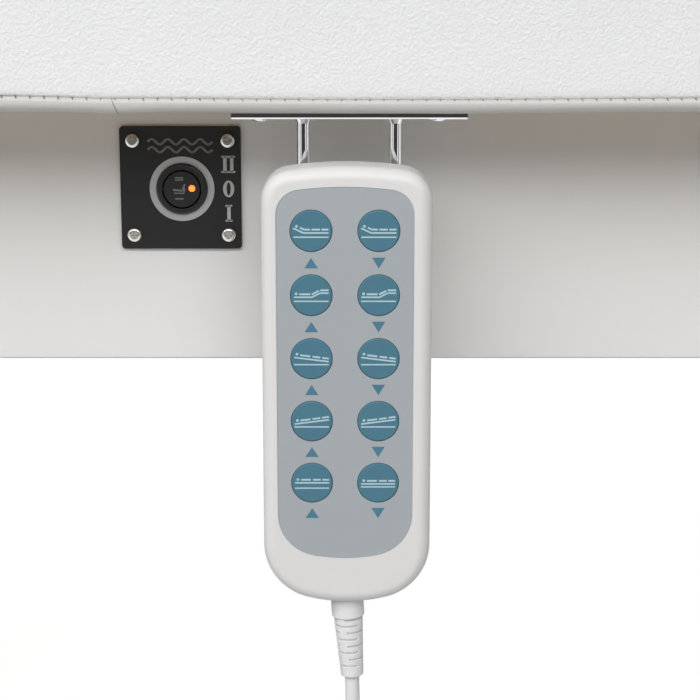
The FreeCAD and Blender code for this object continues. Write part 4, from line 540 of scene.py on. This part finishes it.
def stadium_rings(profile, count):
    """Rings round the breathing hole, from (how far it is grown, height)."""
    rings = []
    for grow, z in profile:
        radius, straight = HOLE_HALF_Y + grow, HOLE_HALF_X - HOLE_HALF_Y
        rings.append([(HOLE_X + side * (straight + radius * math.sin(math.pi * i / count)),
                       -side * radius * math.cos(math.pi * i / count), z)
                      for side in (1, -1) for i in range(count + 1)])
    return rings


def box_cutter(x0, x1, y0, y1, z0, z1):
    points = [(x, y, z) for z in (z0, z1) for y in (y0, y1) for x in (x0, x1)]
    faces = [[0, 1, 3, 2], [4, 5, 7, 6], [0, 1, 5, 4], [2, 3, 7, 6], [0, 2, 6, 4], [1, 3, 7, 5]]
    return add_object("cutter", outward_mesh("cutter", points, faces))


def rolled_edge(grow, z, way, angles):
    """A round edge as (growth, height), from there upwards: wider where way is 1, narrower where it is -1."""
    return [(grow + way * HOLE_ROUND * (1 - math.cos(math.radians(angle))),
             z + HOLE_ROUND * math.sin(math.radians(angle))) for angle in angles]


def hole_cutter():
    """The breathing hole, with an edge that rolls in."""
    profile = [*HOLE_BELOW, *rolled_edge(0.0, HOLE_ROUND_Z, 1, HOLE_ANGLES), *HOLE_ABOVE]
    points, faces = loft(stadium_rings(profile, HOLE_COUNT))
    return add_object("hole", outward_mesh("hole", points, faces))


def cut(obj, cutters):
    """Cuts the cutters out of a piece and removes them."""
    for tool in cutters:
        step = obj.modifiers.new("cut", "BOOLEAN")
        step.operation, step.solver, step.object = "DIFFERENCE", "EXACT", tool
    mesh = final_mesh(obj)
    obj.modifiers.clear()
    obj.data = mesh
    for tool in cutters:
        bpy.data.objects.remove(tool)


def paint_band_shade(obj):
    """Gives the faces under the seam a darker copy of the leather: painted shade on the rolled band that
    faces down.
    """
    obj.data.materials.append(MATERIALS["band"])
    for face in obj.data.polygons:
        lift = lift_from(SEAM_RUN, face.center.x / MM) if face.center.y < 0 else 0.0
        if face.center.z / MM < SEAM_Z + lift:
            face.material_index = 1


def make_cushion(section, body, x0, x1, end_radii, hinge_ends, seed, hole=False):
    """A section's cushion. hinge_ends are the places along the table where hinges stand in it."""
    node = section + "_cushion"
    points, faces = cushion_form(x0, x1, (SIDE_EDGE_R, *end_radii), seed)
    obj = mesh_object(section + "_leather", points, faces, MATERIALS["leather"], body, True)
    cutters = [box_cutter(end - HINGE_CUT_HALF_X, end + HINGE_CUT_HALF_X, side - HINGE_CUT_HALF_Y,
                          side + HINGE_CUT_HALF_Y, *HINGE_CUT_Z)
               for end in hinge_ends for side in (-HINGE_Y, HINGE_Y)]
    cut(obj, cutters + ([hole_cutter()] if hole else []))
    smooth(obj)
    paint(obj, MATERIALS["leather"])
    paint_band_shade(obj)
    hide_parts(node)


def make_plug():
    """The face plug: a stadium cushion with a rolled top edge and a slightly crowned top."""
    profile = [PLUG_FOOT] + [(-PLUG_GAP, z) for z in PLUG_HEIGHTS]
    profile += rolled_edge(-PLUG_GAP, PLUG_ROUND_Z, -1, PLUG_ANGLES)
    top_z = PLUG_ROUND_Z + HOLE_ROUND
    profile += [(-PLUG_TOP_INSET - step, top_z + PLUG_CROWN * math.sin(step / PLUG_CROWN_REACH * math.pi / 2))
                for step in PLUG_TOP_STEPS]
    points, faces = loft(stadium_rings(profile, PLUG_COUNT))
    obj = mesh_object("face_plug_leather", points, faces, MATERIALS["leather"], "plug", True)
    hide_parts("face_plug")


# Stitches across the top of the seat's front band, and the join between two lengths of it
STITCH_PITCH, STITCH_MARGIN = 5.5, 26.9
STITCH = {"depths": (-0.03, 0.13), "lean": 0.35, "half": 0.3, "steps": 2}
JOIN_X = -190.8
JOIN = {"depths": (0.0, 1.0), "lean": 2.4, "half": 0.17, "steps": 16}
THREAD_IN, THREAD_OUT = 0.05, 0.1
BAND_TOP_Z, BAND_HEIGHT = 525.5, 5.2


def band_place(x, depth):
    """A point on the seat's rolled front band: depth runs from 0 at the seam to 1 at its lower edge."""
    insets, heights = zip(*BAND)
    z = BAND_TOP_Z - BAND_HEIGHT * depth
    lift = lift_from(SEAM_RUN, x) * (1 - depth) + lift_from(EDGE_RUN, x) * depth
    return x, -HALF_WIDTH + np.interp(z, heights, insets), z + lift


def thread(x, depths, lean, half, steps):
    """Points and faces of one thread down the band, leaning along the table."""
    rings = []
    for i in range(steps + 1):
        t = i / steps
        px, py, pz = band_place(x + lean * t, depths[0] + (depths[1] - depths[0]) * t)
        rings.append([(px - half, py + THREAD_IN, pz), (px + half, py + THREAD_IN, pz),
                      (px + half, py - THREAD_OUT, pz), (px - half, py - THREAD_OUT, pz)])
    return loft(rings)


def make_band_details():
    count = int((SEAT_END - BACK_END - 2 * STITCH_MARGIN) / STITCH_PITCH)
    threads = [thread(BACK_END + STITCH_MARGIN + STITCH_PITCH * i, **STITCH) for i in range(count)]
    threads.append(thread(JOIN_X, **JOIN))
    points, faces = [], []
    for thread_points, thread_faces in threads:
        faces += [[len(points) + corner for corner in face] for face in thread_faces]
        points += thread_points
    mesh_object("seat_band_stitches", points, faces, MATERIALS["stitch"], "top")


def make_upholstery():
    make_cushion("back", "back", HEAD_X, BACK_END - HALF_GAP, (END_EDGE_R, HINGE_EDGE_R), [BACK_END], 11,
                 hole=True)
    make_cushion("seat", "top", BACK_END + HALF_GAP, SEAT_END - HALF_GAP, (HINGE_EDGE_R, HINGE_EDGE_R),
                 [BACK_END, SEAT_END], 21)
    make_cushion("thigh", "thigh", SEAT_END + HALF_GAP, THIGH_END - HALF_GAP, (HINGE_EDGE_R, END_EDGE_R),
                 [SEAT_END], 31)
    make_cushion("calf", "calf", THIGH_END + HALF_GAP, FOOT_X, (END_EDGE_R, END_EDGE_R), [], 41)
    make_plug()
    make_band_details()


# Printed marks, in millimetres

class Print:
    """Flat printed marks on a face that looks along -Y, gathered as thin plates in one mesh."""

    def __init__(self, y, thick=0.05):
        self.y, self.back_y = y, y - thick
        self.points, self.faces = [], []

    def plate(self, outline):
        """A plate from an outline of (x, z) points, convex."""
        n, start = len(outline), len(self.points)
        self.points += [(x, y, z) for y in (self.y, self.back_y) for x, z in outline]
        self.faces.append([start + i for i in range(n)])
        self.faces.append([start + n + i for i in reversed(range(n))])
        for i in range(n):
            after = (i + 1) % n
            self.faces.append([start + i, start + after, start + n + after, start + n + i])

    def bar(self, x0, z0, x1, z1, width):
        length = math.hypot(x1 - x0, z1 - z0)
        nx, nz = -(z1 - z0) / length * width / 2, (x1 - x0) / length * width / 2
        self.plate([(x0 + nx, z0 + nz), (x1 + nx, z1 + nz), (x1 - nx, z1 - nz), (x0 - nx, z0 - nz)])

    def line(self, points, width):
        for (x0, z0), (x1, z1) in zip(points, points[1:]):
            self.bar(x0, z0, x1, z1, width)

    def disc(self, x, z, radius, count=12):
        angles = [2 * math.pi * i / count for i in range(count)]
        self.plate([(x + radius * math.cos(a), z + radius * math.sin(a)) for a in angles])

    def ring(self, x, z, outer, inner, count):
        """A ring. outer and inner are (radius in X, radius in Z)."""
        start = len(self.points)
        for i in range(count):
            c, s = math.cos(2 * math.pi * i / count), math.sin(2 * math.pi * i / count)
            for y in (self.y, self.back_y):
                self.points += [(x + rx * c, y, z + rz * s) for rx, rz in (outer, inner)]
        for i in range(count):
            a, b = start + 4 * i, start + 4 * ((i + 1) % count)
            self.faces += [[a, b, b + 1, a + 1], [a + 2, a + 3, b + 3, b + 2], [a, a + 2, b + 2, b],
                           [a + 1, b + 1, b + 3, a + 3]]

    def make(self, name, mat, body):
        return mesh_object(name, self.points, self.faces, mat, body)


KEY_ROWS = ("back", "leg", "head_end", "foot_end", "height")
KEY_Z = (473.7, 447.8, 421.9, 396.0, 370.1)
KEY_X = {"up": -113.6, "down": -86.8}
BED_HALF, GROUND_HALF = 6.9, 7.0
BED_WIDTH, BODY_WIDTH, GROUND_WIDTH, HEAD_R = 0.62, 0.72, 0.55, 0.55

# For each row, as (x, z) from the key's middle: the bed's line, the body's three parts over it, and its head.
# Then the height of the ground under it.
KEY_SIGNS = {
    "back": (((-7.0, 1.1), (-3.0, -0.8), (BED_HALF, -0.8)),
             (((-4.35, 1.35), (-2.85, 0.55), (-0.4, 0.55)), ((0.2, 0.55), (3.5, 0.55)),
              ((4.1, 0.55), (BED_HALF, 0.55))),
             (-5.7, 1.85), -2.5),
    "leg": (((-BED_HALF, -0.75), (0.3, -0.75), (3.5, 0.9), (BED_HALF, 0.9)),
            (((-4.8, 0.45), (-0.5, 0.45)), ((0.15, 0.35), (3.05, 1.85)), ((3.6, 2.05), (BED_HALF, 2.05))),
            (-6.0, 0.6), -2.4),
    "head_end": (((-BED_HALF, 0.55), (BED_HALF, -1.15)),
                 (((-4.5, 1.5), (-0.5, 1.0)), ((0.4, 0.9), (3.5, 0.5)), ((4.3, 0.4), (BED_HALF, 0.1))),
                 (-5.8, 1.95), -2.4),
    "foot_end": (((-BED_HALF, -1.15), (BED_HALF, 0.65)),
                 (((-4.5, 0.35), (-0.5, 0.85)), ((0.3, 0.95), (3.4, 1.35)), ((4.2, 1.5), (BED_HALF, 1.85))),
                 (-5.8, 0.35), -2.35),
    "height": (((-BED_HALF, 0.0), (BED_HALF, 0.0)),
               (((-4.5, 1.3), (-0.5, 1.3)), ((0.4, 1.3), (3.5, 1.3)), ((4.2, 1.3), (BED_HALF, 1.3))),
               (-5.8, 1.4), -2.25),
}
# On the key that lowers the table, the bed is this much lower, and the ground higher by 1.2 times as much
LOWERED, GROUND_RAISED = 0.45, 1.2


def make_key_marks():
    """On each key, a plain sign of the bed and the body on it, over a ground line."""
    for row, z in zip(KEY_ROWS, KEY_Z):
        bed, parts, (head_x, head_z), ground_z = KEY_SIGNS[row]
        for way, x in KEY_X.items():
            low = LOWERED if (row, way) == ("height", "down") else 0.0
            mark = Print(KEY_FACE_Y)
            mark.line([(x + a, z + b - low) for a, b in bed], BED_WIDTH)
            for part in parts:
                mark.line([(x + a, z + b - low) for a, b in part], BODY_WIDTH)
            mark.disc(x + head_x, z + head_z - low, HEAD_R)
            ground = z + ground_z + low * GROUND_RAISED
            mark.bar(x - GROUND_HALF, ground, x + BED_HALF, ground, GROUND_WIDTH)
            name = "key_" + row + "_" + way
            mark.make(name + "_mark", MATERIALS["print_pale"], name + "_body")


# The arrows under the keys: half their width, and the heights of their broad end and their tip from the key
ARROW_HALF = 2.7
ARROWS = {"up": (-15.0, -10.8), "down": (-10.7, -15.1)}


def make_arrows():
    arrows = Print(LABEL_Y)
    for z in KEY_Z:
        for way, (broad, tip) in ARROWS.items():
            x = KEY_X[way]
            arrows.plate([(x - ARROW_HALF, z + broad), (x + ARROW_HALF, z + broad), (x, z + tip)])
    arrows.make("handset_arrows", MATERIALS["print_teal"], "handset")


# The switch's printed ring, and its three positions beside it: II above, 0 in the middle and I below
RING_OUTER, RING_INNER, RING_COUNT = (13.7, 13.7), (10.95, 10.95), 72
MARKS_X, MARKS_RISE = 19.7, 10.4
STROKE_HALF, STROKE_WIDTH, STROKE_OFFSET = 3.3, 1.45, 1.45
SERIF_Z, SERIF_WIDTH = 3.2, 0.75
ZERO_OUTER, ZERO_INNER, ZERO_COUNT = (2.35, 3.55), (0.85, 2.75), 40

# The waves above the switch
WAVE_Z, WAVE_GAP, WAVE_ROWS = 16.2, 3.3, 2
WAVE_HALF, WAVE_HEIGHT, WAVE_WIDTH, WAVE_COUNT, WAVE_STEPS = 13.6, 1.15, 1.0, 4, 48


def make_switch_marks():
    """A ring round the switch, its three positions, and waves for warmth above it."""
    ring = Print(PLATE_Y)
    ring.ring(SWITCH_X, SWITCH_Z, RING_OUTER, RING_INNER, RING_COUNT)
    x = SWITCH_X + MARKS_X
    numerals = ((SWITCH_Z + MARKS_RISE, (-STROKE_OFFSET, STROKE_OFFSET)), (SWITCH_Z - MARKS_RISE, (0.0,)))
    for z, strokes in numerals:
        reach = strokes[-1] + STROKE_OFFSET
        for stroke in strokes:
            ring.bar(x + stroke, z - STROKE_HALF, x + stroke, z + STROKE_HALF, STROKE_WIDTH)
        for end in (-SERIF_Z, SERIF_Z):
            ring.bar(x - reach, z + end, x + reach, z + end, SERIF_WIDTH)
    ring.ring(x, SWITCH_Z, ZERO_OUTER, ZERO_INNER, ZERO_COUNT)
    ring.make("switch_ring_and_positions", MATERIALS["print_silver"], "top")
    waves = Print(PLATE_Y)
    for row in range(WAVE_ROWS):
        z = PLATE_Z + WAVE_Z + WAVE_GAP * row
        shares = [i / WAVE_STEPS for i in range(WAVE_STEPS + 1)]
        waves.line([(PLATE_X - WAVE_HALF + 2 * WAVE_HALF * share,
                     z + WAVE_HEIGHT * math.sin(2 * math.pi * WAVE_COUNT * share)) for share in shares],
                   WAVE_WIDTH)
    waves.make("warmth_waves", MATERIALS["print_grey"], "top")


# The rocker's seat sign, as lines of (x, z) from the sign's middle with their width, and its lamp
SIGN_SHIFT, SIGN_THICK = -0.6, 0.06
SIGN_LINES = (
    (((1.9, 2.2), (0.9, -0.6), (-3.0, -0.2)), 0.75),
    (((-2.6, -1.6), (1.4, -1.7), (1.9, 0.4)), 0.5),
    (((-2.2, 4.9), (1.3, 4.9)), 0.5),
    (((-2.2, 4.0), (1.3, 4.0)), 0.5),
    (((-2.2, -4.0), (1.3, -4.0)), 0.6),
)
LAMP_R, LAMP_FLATNESS, LAMP_FROM = 1.4, 0.35, (4.3, 0.4)


def make_rocker_marks():
    """A plain seat sign on the rocker, and a small lamp beside it."""
    sign = Print(ROCKER_FACE_Y, SIGN_THICK)
    x, z = SWITCH_X + SIGN_SHIFT, SWITCH_Z
    for points, width in SIGN_LINES:
        sign.line([(x + a, z + b) for a, b in points], width)
    sign.make("rocker_seat_sign", MATERIALS["print_rocker"], "rocker")
    ball = bmesh.new()
    bmesh.ops.create_uvsphere(ball, u_segments=24, v_segments=12, radius=LAMP_R * MM)
    bmesh.ops.scale(ball, vec=(1, LAMP_FLATNESS, 1), verts=ball.verts)
    mesh = bpy.data.meshes.new("rocker_lamp")
    ball.to_mesh(mesh)
    ball.free()
    lamp = add_object("rocker_lamp", mesh)
    lamp.location = ((SWITCH_X + LAMP_FROM[0]) * MM, ROCKER_FACE_Y * MM, (SWITCH_Z + LAMP_FROM[1]) * MM)
    smooth(lamp)
    paint(lamp, MATERIALS["lamp"])
    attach(lamp, "rocker")


# Lights, floor and background

WHITE = (1, 1, 1, 1)
LIT_COLOUR, LIT_STRENGTH = (0.98, 0.98, 1.0, 1), 0.13
FLOOR_HALF, FLOOR_SHADES, FLOOR_GLOW = 40, (0.54, 0.56), 0.80
CARD_Z = (-0.1, 1.15)
CARDS = {
    "card_behind": ((-1.6, -2.6), (1.2, -2.6)),
    "card_left": ((-1.75, -1.5), (-1.6, -1.1)),
    "card_right": ((1.15, -1.0), (1.35, -1.6)),
}


def area_light(name, place, target, size, watts):
    data = bpy.data.lights.new(name, "AREA")
    data.shape = "RECTANGLE"
    data.size, data.size_y = size
    data.energy = watts
    light = add_object(name, data)
    light.location = place
    light.rotation_euler = (Vector(target) - Vector(place)).to_track_quat("-Z", "Y").to_euler()


def make_lights():
    area_light("key", place=(-0.7, -2.2, 2.2), target=(-0.1, -0.3, 0.45), size=(5.0, 1.7), watts=92)
    area_light("back_fill", place=(0.6, 2.4, 2.4), target=(0, 0, 0.5), size=(2.0, 1.2), watts=24)


def seen_directly(tree):
    """1 for rays from the camera and for the rays of mirrors and glass, else 0."""
    path = new_node(tree, "LightPath")
    total = path.outputs["Is Camera Ray"]
    for kind in ("Is Glossy Ray", "Is Transmission Ray"):
        add = new_node(tree, "Math")
        add.operation, add.use_clamp = "ADD", True
        tree.links.new(total, add.inputs[0])
        tree.links.new(path.outputs[kind], add.inputs[1])
        total = add.outputs["Value"]
    return total


def shown_directly(tree, lit, seen):
    """The shader to see directly, and the other one for all that only lights."""
    mix = new_node(tree, "MixShader")
    tree.links.new(seen_directly(tree), mix.inputs["Fac"])
    tree.links.new(lit.outputs[0], mix.inputs[1])
    tree.links.new(seen.outputs[0], mix.inputs[2])
    return mix.outputs["Shader"]


def make_world():
    """A pale surround: plain white where the camera, or a mirror, looks straight at it, softer as a light."""
    world = bpy.data.worlds.new("studio")
    world.use_nodes = True
    bpy.context.scene.world = world
    tree = world.node_tree
    seen = tree.nodes["Background"]
    seen.inputs["Color"].default_value, seen.inputs["Strength"].default_value = WHITE, 1.0
    lit = new_node(tree, "Background", Color=LIT_COLOUR, Strength=LIT_STRENGTH)
    tree.links.new(shown_directly(tree, lit, seen), tree.nodes["World Output"].inputs["Surface"])


def make_floor():
    """A pale floor. Seen directly it glows a little, so that it is white and still carries the shadow."""
    mat, tree, shader = node_material("floor")
    shader.inputs["Roughness"].default_value = 0.9
    cloud = new_node(tree, "TexNoise", Scale=2.0)
    ramp = tone_ramp(tree, *[(shade,) * 3 + (1,) for shade in FLOOR_SHADES])
    tree.links.new(cloud.outputs["Fac"], ramp.inputs["Fac"])
    tree.links.new(ramp.outputs["Color"], shader.inputs["Base Color"])
    glow = new_node(tree, "Emission", Color=WHITE, Strength=FLOOR_GLOW)
    dark = new_node(tree, "Emission", Strength=0.0)
    both = new_node(tree, "AddShader")
    tree.links.new(shader.outputs["BSDF"], both.inputs[0])
    tree.links.new(shown_directly(tree, dark, glow), both.inputs[1])
    tree.links.new(both.outputs["Shader"], tree.nodes["Material Output"].inputs["Surface"])
    mesh = bpy.data.meshes.new("floor")
    corners = [(x * FLOOR_HALF, y * FLOOR_HALF, 0) for x, y in ((-1, -1), (1, -1), (1, 1), (-1, 1))]
    mesh.from_pydata(corners, [], [[0, 1, 2, 3]])
    floor = add_object("floor", mesh)
    floor.data.materials.append(mat)


def make_dark_cards():
    """Dark cards behind and beside the camera. Only mirrors see them, so that chrome shows some dark."""
    low, high = CARD_Z
    for name, (a, b) in CARDS.items():
        mesh = bpy.data.meshes.new(name)
        mesh.from_pydata([(*a, low), (*b, low), (*b, high), (*a, high)], [], [[0, 1, 2, 3]])
        card = add_object(name, mesh)
        paint(card, MATERIALS["card"])
        card.visible_camera = card.visible_diffuse = card.visible_shadow = False


make_camera()
make_cord()
paint_nodes()
make_upholstery()
make_key_marks()
make_arrows()
make_switch_marks()
make_rocker_marks()
make_world()
make_floor()
make_dark_cards()
make_lights()
bpy.context.scene.view_settings.view_transform = "Standard"
